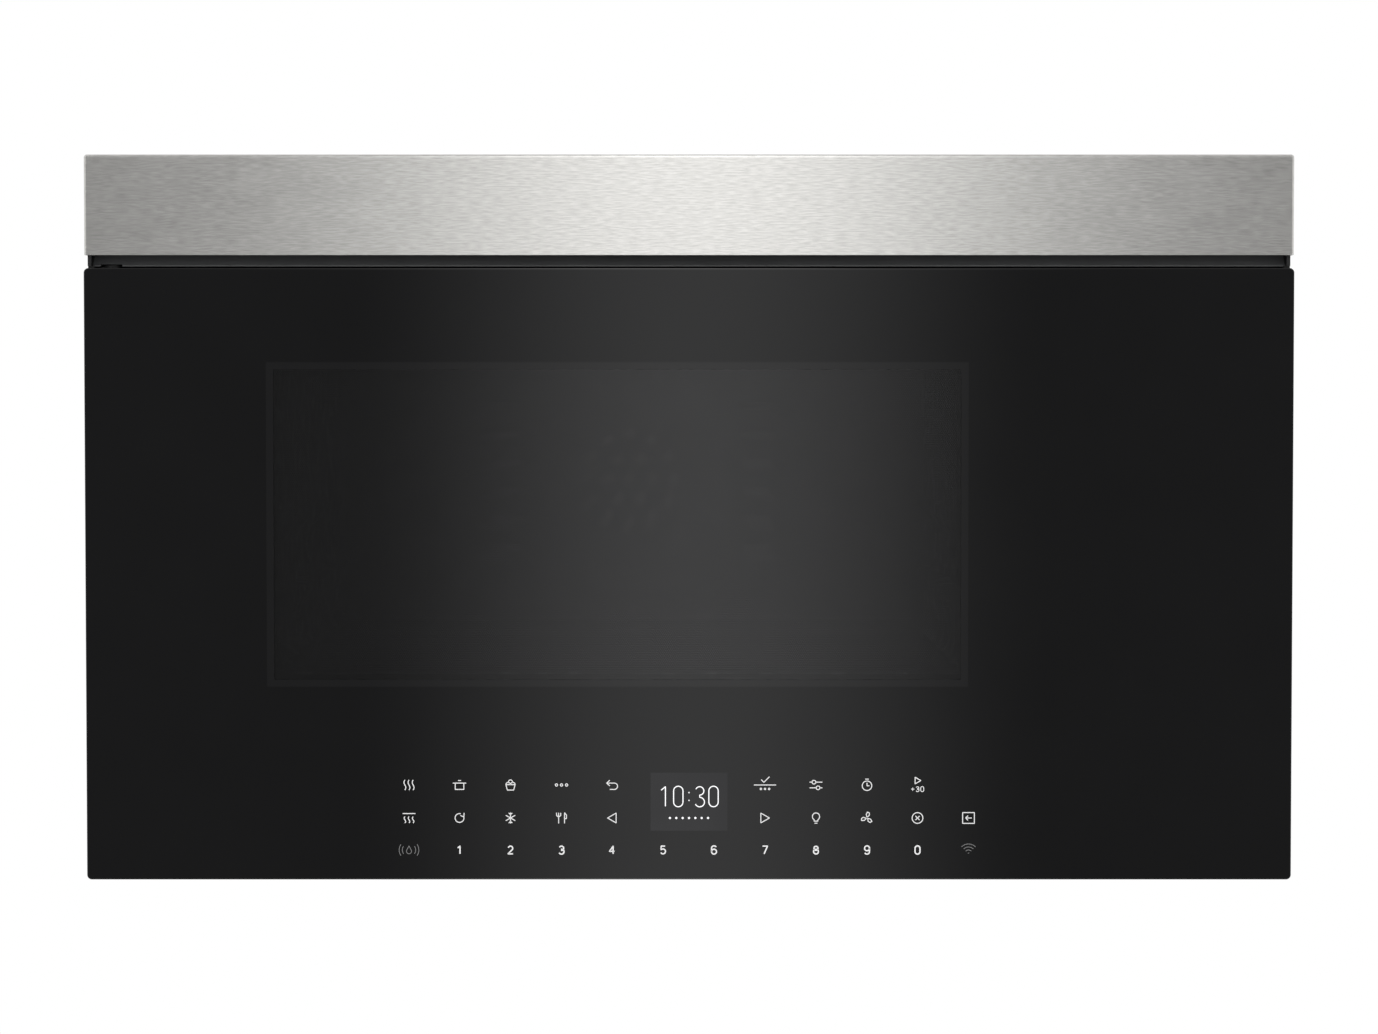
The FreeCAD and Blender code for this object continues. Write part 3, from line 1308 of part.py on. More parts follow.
def make_display():
    """Display module in the middle of the key board."""
    return panel(display_x, display_z, (glass_back, glass_back + 6), 1)


# ------------------------------------------------------------------ latch and door pusher
hook_tip = frame_back + hook_reach
plate_back = panel_y - running_gap


def hook_profile(z):
    """Side view of one hook: a shank with a lip that drops behind the frame."""
    lip_y = frame_back + running_gap
    return [(plate_back - 1, z), (lip_y, z), (lip_y, z - hook_lip), (lip_y + 8, z - hook_lip),
            (hook_tip, z + 3), (hook_tip, z + hook_height), (plate_back - 1, z + hook_height)]


def make_latch_plate():
    """Sprung plate that slides up in the door and carries both hooks."""
    x = span(latch_x, latch_thickness)
    bar = block(x, (plate_back - 12, plate_back), (lower_hook - 5, upper_hook + hook_height + 12))
    hooks = [prism(hook_profile(z), "yz", x) for z in (lower_hook, upper_hook)]
    return fuse_all([bar] + hooks)


def make_latch_spring():
    """Spring that pushes the latch plate down, between its top and the door frame."""
    z = (upper_hook + hook_height + 12 + running_gap, door_room["z"][1] - running_gap)
    y = plate_back - 6
    sleeve = rod(4.0, (latch_x, y, z[0]), (latch_x, y, z[1]))
    return sleeve.cut(rod(3.0, (latch_x, y, z[0] - 1), (latch_x, y, z[1] + 1)))


switch_size = (27.8, 16.0, 10.3)  # length, depth and thickness of a snap switch
switch_face = hook_tip + plunger_gap
pusher_end = frame_back + pusher_length
third_face = pusher_end + plunger_gap
lever_pivot = {"y": frame_back + lever_front, "z": lower_hook - 14}
lever_x = span(latch_x, latch_thickness)
lever_pin = 2.5
web_x = (latch_x + 8, latch_x + 10.5)
solenoid_x = web_x[0] - solenoid_width / 2
solenoid_y = lever_pivot["y"] + lever_reach
solenoid_z = (lever_pivot["z"] - 12 - solenoid_height, lever_pivot["z"] - 12)


def make_interlock_bracket():
    """Moulded bracket behind the frame for the switches, the release lever and the door pusher."""
    base_y = (frame_back, frame_back + 2.5)
    z = (solenoid_z[0], upper_hook + 32)
    base = panel((latch_x - 16, pusher_x + 16), z, base_y, 3)
    web = block(web_x, (base_y[0], switch_face + switch_size[1] + 2), z)
    shelf = block(web_x, (base_y[0], third_face + switch_size[1]), span(pusher_height, switch_size[0]))
    guide_end = pusher_end - pusher_stroke - 6
    guide = rod(pusher_radius + 5, (pusher_x, base_y[0], pusher_height), (pusher_x, guide_end, pusher_height))
    pin = rod(lever_pin, (latch_x - 5, lever_pivot["y"], lever_pivot["z"]),
              (web_x[0], lever_pivot["y"], lever_pivot["z"]))
    holes = [block(slot["x"], grown(base_y, 1),
                   (slot["z"][0] - hook_lip - 1, slot["z"][1])) for slot in hook_slots]
    holes.append(rod(pusher_radius + pin_clearance, (pusher_x, base_y[0] - 1, pusher_height),
                     (pusher_x, guide_end + 1, pusher_height)))
    return cut_all(fuse_all([base, web, shelf, guide, pin]), holes)


def make_interlock_switches():
    """Three snap switches: one behind each hook, and one behind the door pusher."""
    made = []
    length, depth, thickness = switch_size
    for hook in (lower_hook, upper_hook):
        z = hook + hook_height / 2
        body = block((web_x[0] - thickness, web_x[0]), (switch_face, switch_face + depth),
                     (z - length / 3, z + length * 2 / 3))
        bore = rod(plunger_radius + pin_clearance, (latch_x, switch_face - 1, z),
                   (latch_x, switch_face + 6, z))
        made.append(body.cut(bore))
    body = block((web_x[1], web_x[1] + length), (third_face, third_face + depth),
                 span(pusher_height, thickness))
    bore = rod(plunger_radius + pin_clearance, (pusher_x, third_face - 1, pusher_height),
               (pusher_x, third_face + 6, pusher_height))
    made.append(body.cut(bore))
    return Part.makeCompound(made)


def make_switch_plungers():
    """The switches' plungers, held in by the shut door and sprung out when it opens."""
    places = [(latch_x, switch_face, z + hook_height / 2) for z in (lower_hook, upper_hook)]
    places.append((pusher_x, third_face, pusher_height))
    return Part.makeCompound([rod(plunger_radius, (x, y - plunger_gap + running_gap, z), (x, y + 5, z))
                              for x, y, z in places])


def make_door_pusher():
    """Sprung rod that kicks the door open when the hooks let go, with a collar that stops it."""
    tip = door_back + running_gap
    shaft = rod(pusher_radius, (pusher_x, tip, pusher_height), (pusher_x, pusher_end, pusher_height))
    shaft = shaft.makeChamfer(1.2, [e for e in shaft.Edges if near(e.CenterOfMass.y, tip)])
    collar = rod(pusher_radius + 3, (pusher_x, pusher_end - 4, pusher_height),
                 (pusher_x, pusher_end, pusher_height))
    return fuse_all([shaft, collar])


def make_release_lever():
    """Rocking lever: its front end lifts the lower hook when the solenoid pulls its forked back end."""
    y0, z0 = lever_pivot["y"], lever_pivot["z"]
    tip_z = lower_hook - hook_lip - running_gap
    front_arm = prism([(frame_back + 3.5, tip_z), (frame_back + 7.5, tip_z), (y0 + 4, z0 + 3),
                       (y0 + 4, z0 - 4),
                       (y0 - 5, z0 - 4), (frame_back + 3.5, tip_z - 4)], "yz", lever_x)
    boss = rod(6.0, (lever_x[0], y0, z0), (lever_x[1], y0, z0))
    back_arm = block(lever_x, (y0, y0 + 14), (z0 - 4, z0 + 2))
    fork = block((solenoid_x - 6.5, lever_x[1]), (y0 + 13, y0 + 27), (z0 - 4, z0 - 1))
    notch = block(span(solenoid_x, 5.4), (y0 + 17, y0 + 28), (z0 - 5, z0 + 3))
    bore = rod(lever_pin + pin_clearance, (lever_x[0] - 1, y0, z0), (lever_x[1] + 1, y0, z0))
    return cut_all(fuse_all([front_arm, boss, back_arm, fork]), [notch, bore])


def make_release_solenoid():
    """Solenoid that the door-open key drives: a steel yoke round a coil."""
    wall = 2.0
    y = span(solenoid_y, 20)
    x = span(solenoid_x, solenoid_width)
    yoke = block(x, y, solenoid_z).cut(block(grown(x, -wall), grown(y, 1), grown(solenoid_z, -wall)))
    coil = rod(9.5, (solenoid_x, solenoid_y, solenoid_z[0] + 1), (solenoid_x, solenoid_y, solenoid_z[1] - 1))
    bore = rod(3.6, (solenoid_x, solenoid_y, solenoid_z[0] + 6), (solenoid_x, solenoid_y, solenoid_z[1] + 1))
    return fuse_all([yoke, coil]).cut(bore)


def make_solenoid_plunger():
    """Solenoid plunger with a neck in the lever's fork and a head above it."""
    x, y = solenoid_x, solenoid_y
    z0 = lever_pivot["z"]
    slug = rod(3.5, (x, y, solenoid_z[1] - 20), (x, y, z0 - 6))
    neck = rod(2.0, (x, y, z0 - 6), (x, y, z0))
    head = rod(3.6, (x, y, z0 - 1 + running_gap), (x, y, z0 + 2))
    return fuse_all([slug, neck, head])


# ------------------------------------------------------------------ all pieces
PIECES = {
    "outer_wrap": make_outer_wrap,
    "back_plate": make_back_plate,
    "base_pan": make_base_pan,
    "plenum_deck": make_deck,
    "front_frame": make_front_frame,
    "top_panel": make_top_panel,
    "vent_deflector": make_vent_deflector,
    "charcoal_filter": make_charcoal_filter,
    "mount_bracket": make_mount_bracket,
    "cord_grommet": make_grommet,
    "hinge_brackets": make_hinge_brackets,
    "door_bumpers": make_door_bumpers,
    "case_screws": make_case_screws,
    "cavity_liner": make_cavity_liner,
    "cavity_lamp": make_cavity_lamp,
    "ceramic_floor": make_ceramic_floor,
    "rack_supports": make_rack_supports,
    "grill_element": make_grill_element,
    "convection_housing": make_convection_housing,
    "convection_heater": make_convection_heater,
    "convection_motor": make_convection_motor,
    "convection_fan": make_convection_fan,
    "stirrer_well": make_stirrer_well,
    "waveguide": make_waveguide,
    "mode_stirrer": make_mode_stirrer,
    "stirrer_motor": make_stirrer_motor,
    "magnetron": make_magnetron,
    "cooling_shroud": make_cooling_shroud,
    "cooling_fan": make_cooling_fan,
    "high_voltage_transformer": make_transformer,
    "high_voltage_capacitor": make_capacitor,
    "power_board": make_power_board,
    "blower_housings": make_blower_housings,
    "blower_motor": make_blower_motor,
    "blower_rotor": make_blower_rotor,
    "exhaust_adapter": make_exhaust_adapter,
    "damper_flap": make_damper_flap,
    "light_lenses": make_light_lenses,
    "light_boards": make_light_boards,
    "grease_filter_left": lambda: make_grease_filter(-1),
    "grease_filter_right": lambda: make_grease_filter(1),
    "door_glass": make_door_glass,
    "door_frame": make_door_frame,
    "hinge_bushes": make_hinge_bushes,
    "door_panel": make_door_panel,
    "choke_cover": make_choke_cover,
    "inner_glass": make_inner_glass,
    "door_back": make_door_back,
    "touch_board": make_touch_board,
    "display_module": make_display,
    "latch_plate": make_latch_plate,
    "latch_spring": make_latch_spring,
    "interlock_bracket": make_interlock_bracket,
    "interlock_switches": make_interlock_switches,
    "switch_plungers": make_switch_plungers,
    "door_pusher": make_door_pusher,
    "release_lever": make_release_lever,
    "release_solenoid": make_release_solenoid,
    "solenoid_plunger": make_solenoid_plunger,
}


def main():
    """Builds each piece, checks that it is sound and writes its file."""
    os.makedirs("parts", exist_ok=True)
    for name, make in PIECES.items():
        shape = make()
        solids = shape.Solids
        if not shape.isValid() or not solids or min(s.Volume for s in solids) <= 0:
            print("unsound:", name)
        shape.exportStep(f"parts/{name}.step")
        print(f"{name}: {len(solids)} solid(s), {sum(s.Volume for s in solids) / 1000:.1f} cm3")


main()
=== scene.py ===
# %% [markdown]
# # An over-the-range microwave oven in glass and brushed steel
# This lesson dresses an engineering model of a kitchen appliance. The frame that is loaded first holds every
# real piece at its real place, in metres, with the front of the door at negative Y. The lesson then sets the
# camera, gives each piece a finish made of nodes, and models what the solids leave out: the printed keys, the
# clock, the lattice of the grease filters and the crossed heads of the screws.

# %% Load the frame and keep its box
import bpy
import json
import math
from mathutils import Matrix, Vector


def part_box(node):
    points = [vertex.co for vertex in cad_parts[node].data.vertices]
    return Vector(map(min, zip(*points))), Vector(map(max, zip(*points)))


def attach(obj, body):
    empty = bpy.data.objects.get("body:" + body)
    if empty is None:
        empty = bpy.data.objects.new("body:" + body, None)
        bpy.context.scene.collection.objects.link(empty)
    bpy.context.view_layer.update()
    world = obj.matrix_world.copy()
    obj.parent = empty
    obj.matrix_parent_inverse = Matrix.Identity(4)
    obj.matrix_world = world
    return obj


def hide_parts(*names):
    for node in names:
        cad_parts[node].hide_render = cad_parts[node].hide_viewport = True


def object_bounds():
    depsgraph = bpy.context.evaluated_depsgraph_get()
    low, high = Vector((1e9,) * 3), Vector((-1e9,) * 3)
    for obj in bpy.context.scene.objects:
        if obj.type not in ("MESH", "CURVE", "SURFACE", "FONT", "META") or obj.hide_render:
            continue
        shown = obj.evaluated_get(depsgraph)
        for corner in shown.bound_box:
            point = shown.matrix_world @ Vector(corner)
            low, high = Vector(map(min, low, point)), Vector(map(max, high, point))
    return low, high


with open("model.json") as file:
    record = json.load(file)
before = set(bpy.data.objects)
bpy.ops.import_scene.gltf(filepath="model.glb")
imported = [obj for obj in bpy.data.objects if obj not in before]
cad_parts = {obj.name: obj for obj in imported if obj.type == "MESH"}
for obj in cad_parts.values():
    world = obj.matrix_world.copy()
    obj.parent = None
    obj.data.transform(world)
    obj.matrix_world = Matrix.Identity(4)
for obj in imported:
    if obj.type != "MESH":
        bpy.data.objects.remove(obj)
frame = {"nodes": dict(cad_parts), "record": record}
solid_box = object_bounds()
nodes = frame["nodes"]
MM = 0.001
print("nodes:", len(nodes), "box:", [list(corner) for corner in solid_box])

# %% [markdown]
# ## Camera and view
# The photograph is a catalogue view, taken straight from the front with a long lens. The appliance's sides
# come in slightly towards the bottom, which says that the camera stands a little above the middle of the door
# and looks down by two degrees. Its lens follows from the width of the door in the picture. The same numbers
# turn a pixel of the photograph into a place on the door, which the keys need later.

# %% Camera
scene = bpy.context.scene
scene.view_settings.view_transform = "Standard"

photo_width, photo_height = 1378, 1034
door_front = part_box("door_glass")[0].y
camera_distance, camera_height = 2.149, 0.0733  # metres before the door and above the part's middle
camera_tilt = math.radians(-1.935)
field_of_view = math.radians(22.762)  # across the picture


def on_door(pixel_x, pixel_y):
    """The X and Z, in metres, at which a pixel of the photograph falls on the door's front."""
    focal = photo_width / 2 / math.tan(field_of_view / 2)
    aside, rise = (pixel_x - photo_width / 2) / focal, (photo_height / 2 - pixel_y) / focal
    ahead = math.cos(camera_tilt) - rise * math.sin(camera_tilt)
    return (camera_distance * aside / ahead,
            camera_height + camera_distance * (math.sin(camera_tilt) + rise * math.cos(camera_tilt)) / ahead)


camera_data = bpy.data.cameras.new("catalogue_camera")
camera_data.sensor_fit = "HORIZONTAL"
camera_data.angle = field_of_view
camera = bpy.data.objects.new("catalogue_camera", camera_data)
scene.collection.objects.link(camera)
camera.location = (0, door_front - camera_distance, camera_height)
camera.rotation_euler = (math.radians(90) + camera_tilt, 0, 0)
scene.camera = camera
print("lens:", round(camera_data.lens, 1), "mm")

# %% [markdown]
# ## Light
# Black glass shows what stands in front of it. Here that is one tall soft light behind the camera, bright in
# the middle and fading to both sides, so the glass is brightest at the middle of the door and darker at its
# ends. Brushed steel spreads what it reflects up and down, so it also catches the brighter ceiling and the
# table below. The world holds that pattern by direction: it is plain white to the camera, even for matte
# surfaces, and for reflections its strength depends on how far a direction turns from straight ahead.

# %% Helpers for nodes and colours
# The kinds of node that are used most
MATHS, RANGE, MIX = "ShaderNodeMath", "ShaderNodeMapRange", "ShaderNodeMix"
NOISE, CELLS = "ShaderNodeTexNoise", "ShaderNodeTexVoronoi"


def linear(hex_code):
    """An sRGB colour such as 0x1A2B3C as linear red, green, blue and a full alpha."""
    channels = []
    for shift in (16, 8, 0):
        value = (hex_code >> shift & 255) / 255
        channels.append(value / 12.92 if value <= 0.04045 else ((value + 0.055) / 1.055) ** 2.4)
    return (*channels, 1.0)


def add_node(tree, kind, settings=None, inputs=None):
    """Adds a node, sets its properties, and links or sets its inputs, which go by name or by number.

    An input takes a number, a colour, a socket, or a whole node for that node's first output.
    """
    made = tree.nodes.new(kind)
    for name, value in (settings or {}).items():
        setattr(made, name, value)
    for key, value in (inputs or {}).items():
        if isinstance(value, bpy.types.Node):
            value = value.outputs[0]
        if isinstance(value, bpy.types.NodeSocket):
            tree.links.new(value, made.inputs[key])
        else:
            made.inputs[key].default_value = value
    return made


def new_finish(name, colour, roughness, metallic=0.0):
    """A material with a Principled shader at plain values. Returns the material, its tree and the shader."""
    made = bpy.data.materials.new(name)
    made.use_nodes = True
    shader = made.node_tree.nodes["Principled BSDF"]
    for socket, value in (("Base Color", linear(colour)), ("Roughness", roughness), ("Metallic", metallic)):
        shader.inputs[socket].default_value = value
    return made, made.node_tree, shader


# %% World
world = bpy.data.worlds.new("soft_studio")
world.use_nodes = True
scene.world = world
sky = world.node_tree
sky.nodes.clear()
matte_strength = 0.95
card_middle, card_side, far_side = 0.9, 0.205, 0.85
fill_middle, fill_side = 2.66, 0.49
light_aside = 0.003  # the light stands this slope to the right of the camera
least_ahead = 0.02  # keeps the slopes finite for a direction that turns sideways

# Across is how far a direction turns to either side, and up how far it rises, as slopes from straight ahead
direction = add_node(sky, "ShaderNodeTexCoord")
parts = add_node(sky, "ShaderNodeSeparateXYZ", inputs={0: direction.outputs["Generated"]})
ahead = add_node(sky, MATHS, {"operation": "MULTIPLY"}, {0: parts.outputs["Y"], 1: -1.0})
ahead = add_node(sky, MATHS, {"operation": "MAXIMUM"}, {0: ahead, 1: least_ahead})
across = add_node(sky, MATHS, {"operation": "DIVIDE"}, {0: parts.outputs["X"], 1: ahead})
across = add_node(sky, MATHS, {"operation": "SUBTRACT"}, {0: across, 1: light_aside})
across = add_node(sky, MATHS, {"operation": "ABSOLUTE"}, {0: across})
up = add_node(sky, MATHS, {"operation": "DIVIDE"}, {0: parts.outputs["Z"], 1: ahead})

# %% How strong the light is from each direction
# Each fade goes softly from one strength to another while a slope goes from a start to an end
fades = {}
for name, slope, start, end, at_start, at_end in (
        ("card", across, 0.0, 0.104, card_middle, card_side),
        ("fill", across, 0.0, 0.145, fill_middle, fill_side),
        ("wide", across, 0.4, 1.1, 0.0, 1.0),
        ("above", up, 0.045, 0.18, 0.0, 1.0),
        ("below", up, -0.15, -0.3, 0.0, 1.0),
        ("behind", parts.outputs["Y"], -0.15, 0.1, 0.0, 1.0)):
    fades[name] = add_node(sky, RANGE, {"interpolation_type": "SMOOTHSTEP"},
                           {"Value": slope, "From Min": start, "From Max": end,
                            "To Min": at_start, "To Max": at_end})
off_level = add_node(sky, MATHS, {"operation": "MAXIMUM"}, {0: fades["above"], 1: fades["below"]})

# The card is straight ahead, the fill over and under it, the far sides beside it and white behind the part
around = fades["card"]
for share, other in ((off_level, fades["fill"]), (fades["wide"], far_side), (fades["behind"], 1.0)):
    around = add_node(sky, MIX, {"data_type": "FLOAT"}, {0: share, 2: around, 3: other})
print("reflections from", card_side, "to", fill_middle)

# %% What each kind of ray sees
rays = add_node(sky, "ShaderNodeLightPath")
matte = add_node(sky, MIX, {"data_type": "FLOAT"},
                 {0: rays.outputs["Is Camera Ray"], 2: matte_strength, 3: 1.0})
sharp = add_node(sky, MATHS, {"operation": "MAXIMUM"},
                 {0: rays.outputs["Is Glossy Ray"], 1: rays.outputs["Is Transmission Ray"]})
seen = add_node(sky, MIX, {"data_type": "FLOAT"}, {0: sharp, 2: matte, 3: around})
background = add_node(sky, "ShaderNodeBackground", inputs={"Color": (1, 1, 1, 1), "Strength": seen})
add_node(sky, "ShaderNodeOutputWorld", inputs={"Surface": background})
print("nodes of the world:", len(sky.nodes))

# %% [markdown]
# ## Lamp and floor
# One wide lamp over the front adds a soft direction to the light, so that the top edges and the hood's
# underside read. The kitchen floor is 1.4 m below the appliance, as it is when this hangs over a range. The
# floor shows from above only, so that a view from below isn't blocked by it, and it fades out into the white
# round it.

# %% Lamp
lamp_data = bpy.data.lights.new("overhead_softbox", "AREA")
lamp_data.shape = "RECTANGLE"
lamp_data.size, lamp_data.size_y = 2.4, 1.2
lamp_data.energy = 14
lamp = bpy.data.objects.new("overhead_softbox", lamp_data)
scene.collection.objects.link(lamp)
lamp.location = (0, -1.6, 2.2)
lamp.rotation_euler = (math.radians(35), 0, 0)
lamp.visible_glossy = False
print("lamp:", lamp_data.energy, "W")


# %% Floor
def primitive(add, **settings):
    """Adds a primitive while nothing else is selected, and returns it."""
    bpy.ops.object.select_all(action="DESELECT")
    add(**settings)
    return bpy.context.object


floor_width, floor_drop = 4.8, 1.4  # metres
fade_start, fade_end = 1.4, 2.4  # metres from the floor's middle
floor_level = solid_box[0][2] - floor_drop
floor = primitive(bpy.ops.mesh.primitive_plane_add, size=floor_width, location=(0, 0, floor_level))
floor.name = "studio_floor"
bpy.ops.object.transform_apply(location=True)
paint, tree, shader = new_finish("white_floor_paint", 0xF0F0EE, 0.8)
underside = add_node(tree, "ShaderNodeNewGeometry")
above_only = add_node(tree, MATHS, {"operation": "SUBTRACT"}, {0: 1.0, 1: underside.outputs["Backfacing"]})
place = add_node(tree, "ShaderNodeTexCoord")
reach = add_node(tree, "ShaderNodeVectorMath", {"operation": "LENGTH"}, {0: place.outputs["Object"]})
near_middle = add_node(tree, RANGE, {"interpolation_type": "SMOOTHSTEP"},
                       {"Value": reach.outputs["Value"], "From Min": fade_start, "From Max": fade_end,
                        "To Min": 1.0, "To Max": 0.0})
shown = add_node(tree, MATHS, {"operation": "MULTIPLY"}, {0: above_only, 1: near_middle})
tree.links.new(shown.outputs[0], shader.inputs["Alpha"])
floor.data.materials.append(paint)
print("floor at", round(floor_level, 3), "m")

# %% [markdown]
# ## How a finish is made
# Every finish starts from the Principled shader at plain values. A pattern needs a real size, so each one
# reads the object's own coordinates in millimetres: a scale of one then means one cell for each millimetre.
# Two small helpers serve all the finishes: one adds a texture at a real size, and one lets the texture drive
# the shader, through its colour, its roughness or small bumps.

# %% Helpers for finishes
def millimetres(tree, stretch=(1, 1, 1)):
    """The object's coordinates in millimetres, each axis divided by how far a pattern stretches along it."""
    place = add_node(tree, "ShaderNodeTexCoord")
    scaled = add_node(tree, "ShaderNodeMapping",
                      inputs={"Vector": place.outputs["Object"], "Scale": tuple(1 / MM / s for s in stretch)})
    return scaled.outputs[0]


def pattern(tree, kind, size, stretch=(1, 1, 1), settings=None, inputs=None):
    """The outputs of a texture of any kind whose features are about size millimetres across."""
    inputs = {"Vector": millimetres(tree, stretch), "Scale": 1 / size, **(inputs or {})}
    return add_node(tree, kind, settings, inputs).outputs


def drive(tree, shader, value, limits=(0.3, 0.7), colours=None, roughness=None, bump=None):
    """Lets a pattern set two colours, a range of roughness, or a bump given by its depth in mm and strength.

    The limits are the pattern's values at the first and the second of each pair. Noise is mostly 0.3 to 0.7.
    """
    limits = {"Value": value, "From Min": limits[0], "From Max": limits[1]}
    if colours:
        share = add_node(tree, RANGE, inputs=limits)
        # 0, 6 and 7 are the factor and the two colours of a Mix node set to colours
        mixed = add_node(tree, MIX, {"data_type": "RGBA"},
                         {0: share, 6: linear(colours[0]), 7: linear(colours[1])})
        tree.links.new(mixed.outputs[2], shader.inputs["Base Color"])
    if roughness:
        moved = add_node(tree, RANGE, inputs={**limits, "To Min": roughness[0], "To Max": roughness[1]})
        tree.links.new(moved.outputs[0], shader.inputs["Roughness"])
    if bump:
        raised = add_node(tree, "ShaderNodeBump",
                          inputs={"Height": value, "Distance": bump[0] * MM, "Strength": bump[1]})
        tree.links.new(raised.outputs[0], shader.inputs["Normal"])


finishes = {}

# %% [markdown]
# ### Brushed stainless steel
# The top panel is stainless sheet, ground with a belt that ran from side to side. Each scratch is a fine
# horizontal line, so a highlight spreads up and down and stays sharp from left to right. The lines are noise
# stretched along X. The real grit leaves lines of a tenth of a millimetre, and they are drawn some eight
# times coarser so that the picture can hold them.

# %% Brushed stainless steel
steel, tree, shader = new_finish("brushed_stainless_steel", 0xCCCBC8, 0.26, metallic=1.0)
lines = pattern(tree, NOISE, 0.85, stretch=(9, 1, 1))["Fac"]
patches = pattern(tree, NOISE, 9.0, stretch=(3, 1, 1))["Fac"]
drive(tree, shader, lines, (0.33, 0.67), colours=(0xC3C2BF, 0xD5D4D1))
drive(tree, shader, patches, roughness=(0.24, 0.27))
shader.inputs["Anisotropic"].default_value = 0.85
round_x = add_node(tree, "ShaderNodeTangent", {"direction_type": "RADIAL", "axis": "X"})
tree.links.new(round_x.outputs[0], shader.inputs["Tangent"])
finishes["stainless_steel"] = steel
print("made", steel.name)

# %% [markdown]
# ### Powder coat
# The case, the door's sheet and the front frame are steel with a black powder coat. It is baked from a dry
# powder, so it has a fine orange peel about a millimetre across and a satin shine that varies a little.

# %% Powder coat
coat, tree, shader = new_finish("black_powder_coat", 0x171718, 0.42)
drive(tree, shader, pattern(tree, NOISE, 1.1)["Fac"], colours=(0x141415, 0x1B1B1C), bump=(0.06, 0.5))
drive(tree, shader, pattern(tree, NOISE, 4.0)["Fac"], roughness=(0.43, 0.47))
finishes["black_steel"] = coat
print("made", coat.name)

# %% [markdown]
# ### Galvanised sheet
# Hot-dip zinc freezes in crystals of some 6 to 10 mm, the spangle. Each crystal leans its own way, so its
# tone and its roughness differ from its neighbour's. A Voronoi cell is one crystal.

# %% Galvanised sheet
zinc, tree, shader = new_finish("galvanised_sheet", 0xA9ADAF, 0.42, metallic=1.0)
tone = add_node(tree, "ShaderNodeSeparateColor", inputs={0: pattern(tree, CELLS, 8)["Color"]})
drive(tree, shader, tone.outputs[0], (0.0, 1.0), colours=(0xA4A8AA, 0xB0B4B6))
drive(tree, shader, tone.outputs[1], (0.0, 1.0), roughness=(0.4, 0.5))
drive(tree, shader, pattern(tree, NOISE, 3.0)["Fac"], bump=(0.03, 0.4))
finishes["galvanised_steel"] = zinc
print("made", zinc.name)

# %% [markdown]
# ### Zinc plate, mill aluminium and oxidised sheath
# Small steel parts are bright zinc plated, filters and cans are plain aluminium from the mill, and the heater
# sheaths are a nickel alloy that has gone brown and matte with heat.

# %% Small metals
plate, tree, shader = new_finish("bright_zinc_plate", 0xC2C6CC, 0.28, metallic=1.0)
drive(tree, shader, pattern(tree, NOISE, 6.0)["Fac"], (0.35, 0.65), colours=(0xB9BEC6, 0xCDCBC2))
drive(tree, shader, pattern(tree, NOISE, 0.8)["Fac"], roughness=(0.22, 0.36))
finishes["zinc_steel"] = plate

mill, tree, shader = new_finish("mill_aluminium", 0xCDCFD1, 0.36, metallic=1.0)
rolled = pattern(tree, NOISE, 0.9, stretch=(1, 25, 1))["Fac"]
drive(tree, shader, rolled, colours=(0xC2C4C6, 0xD6D8DA), roughness=(0.3, 0.42), bump=(0.015, 0.5))
finishes["aluminium"] = mill

sheath, tree, shader = new_finish("oxidised_heater_sheath", 0x4A433D, 0.55, metallic=0.8)
drive(tree, shader, pattern(tree, NOISE, 9.0)["Fac"], colours=(0x3B3733, 0x625347), roughness=(0.48, 0.68))
drive(tree, shader, pattern(tree, NOISE, 0.5)["Fac"], bump=(0.03, 0.5))
finishes["heater_sheath"] = sheath
print("made", plate.name, mill.name, sheath.name)

# %% [markdown]
# ### Moulded plastics and rubber
# The door frame, the deflector and the fans are black ABS and polyamide with a spark-eroded grain about half
# a millimetre across. The latch parts are acetal, grey and white, which is smoother and a little waxy. One
# function gives all of them, because only colour, gloss and grain differ.

# %% Moulded plastics and rubber
def moulded(name, dark, light, roughness, grain_size, grain_depth):
    """A moulded plastic or rubber with a fine grain and a slight cloud in its tone."""
    made, tree, shader = new_finish(name, dark, roughness)
    drive(tree, shader, pattern(tree, NOISE, 18.0)["Fac"], colours=(dark, light))
    grain = pattern(tree, NOISE, grain_size, inputs={"Detail": 1.0})["Fac"]
    drive(tree, shader, grain, roughness=(roughness - 0.05, roughness + 0.07), bump=(grain_depth, 0.6))
    return made


finishes["black_plastic"] = moulded("black_abs", 0x161617, 0x1C1C1D, 0.46, 0.6, 0.04)
# The deflector's slope is dark grey plastic, given a mid grey here as painted light for the light that falls
# into the slot
slope_painted_light_abs = moulded("charcoal_abs_painted_light", 0x666768, 0x6C6D6E, 0.34, 0.6, 0.04)
finishes["grey_plastic"] = moulded("grey_acetal", 0x8A8D90, 0x94979A, 0.34, 0.8, 0.015)
finishes["white_plastic"] = moulded("white_polyamide", 0xD3D3CE, 0xDEDEDA, 0.38, 0.8, 0.02)
finishes["rubber"] = moulded("black_rubber", 0x1A1A1A, 0x222221, 0.72, 0.9, 0.05)
print("finishes so far:", sorted(finishes))

# %% [markdown]
# ### Glass
# Four glasses show. The door is one sheet whose back is printed black, so it only reflects; the print stops
# at the window, where the glass is smoked, and thins at the display. The pane on the oven side is clear, and
# lamp covers are frosted. Lamps and the sky light what is behind glass only if their rays may pass, so a
# clear glass mixes in a Transparent shader for rays that look for light.

# %% Glass
glass_refraction = 1.5


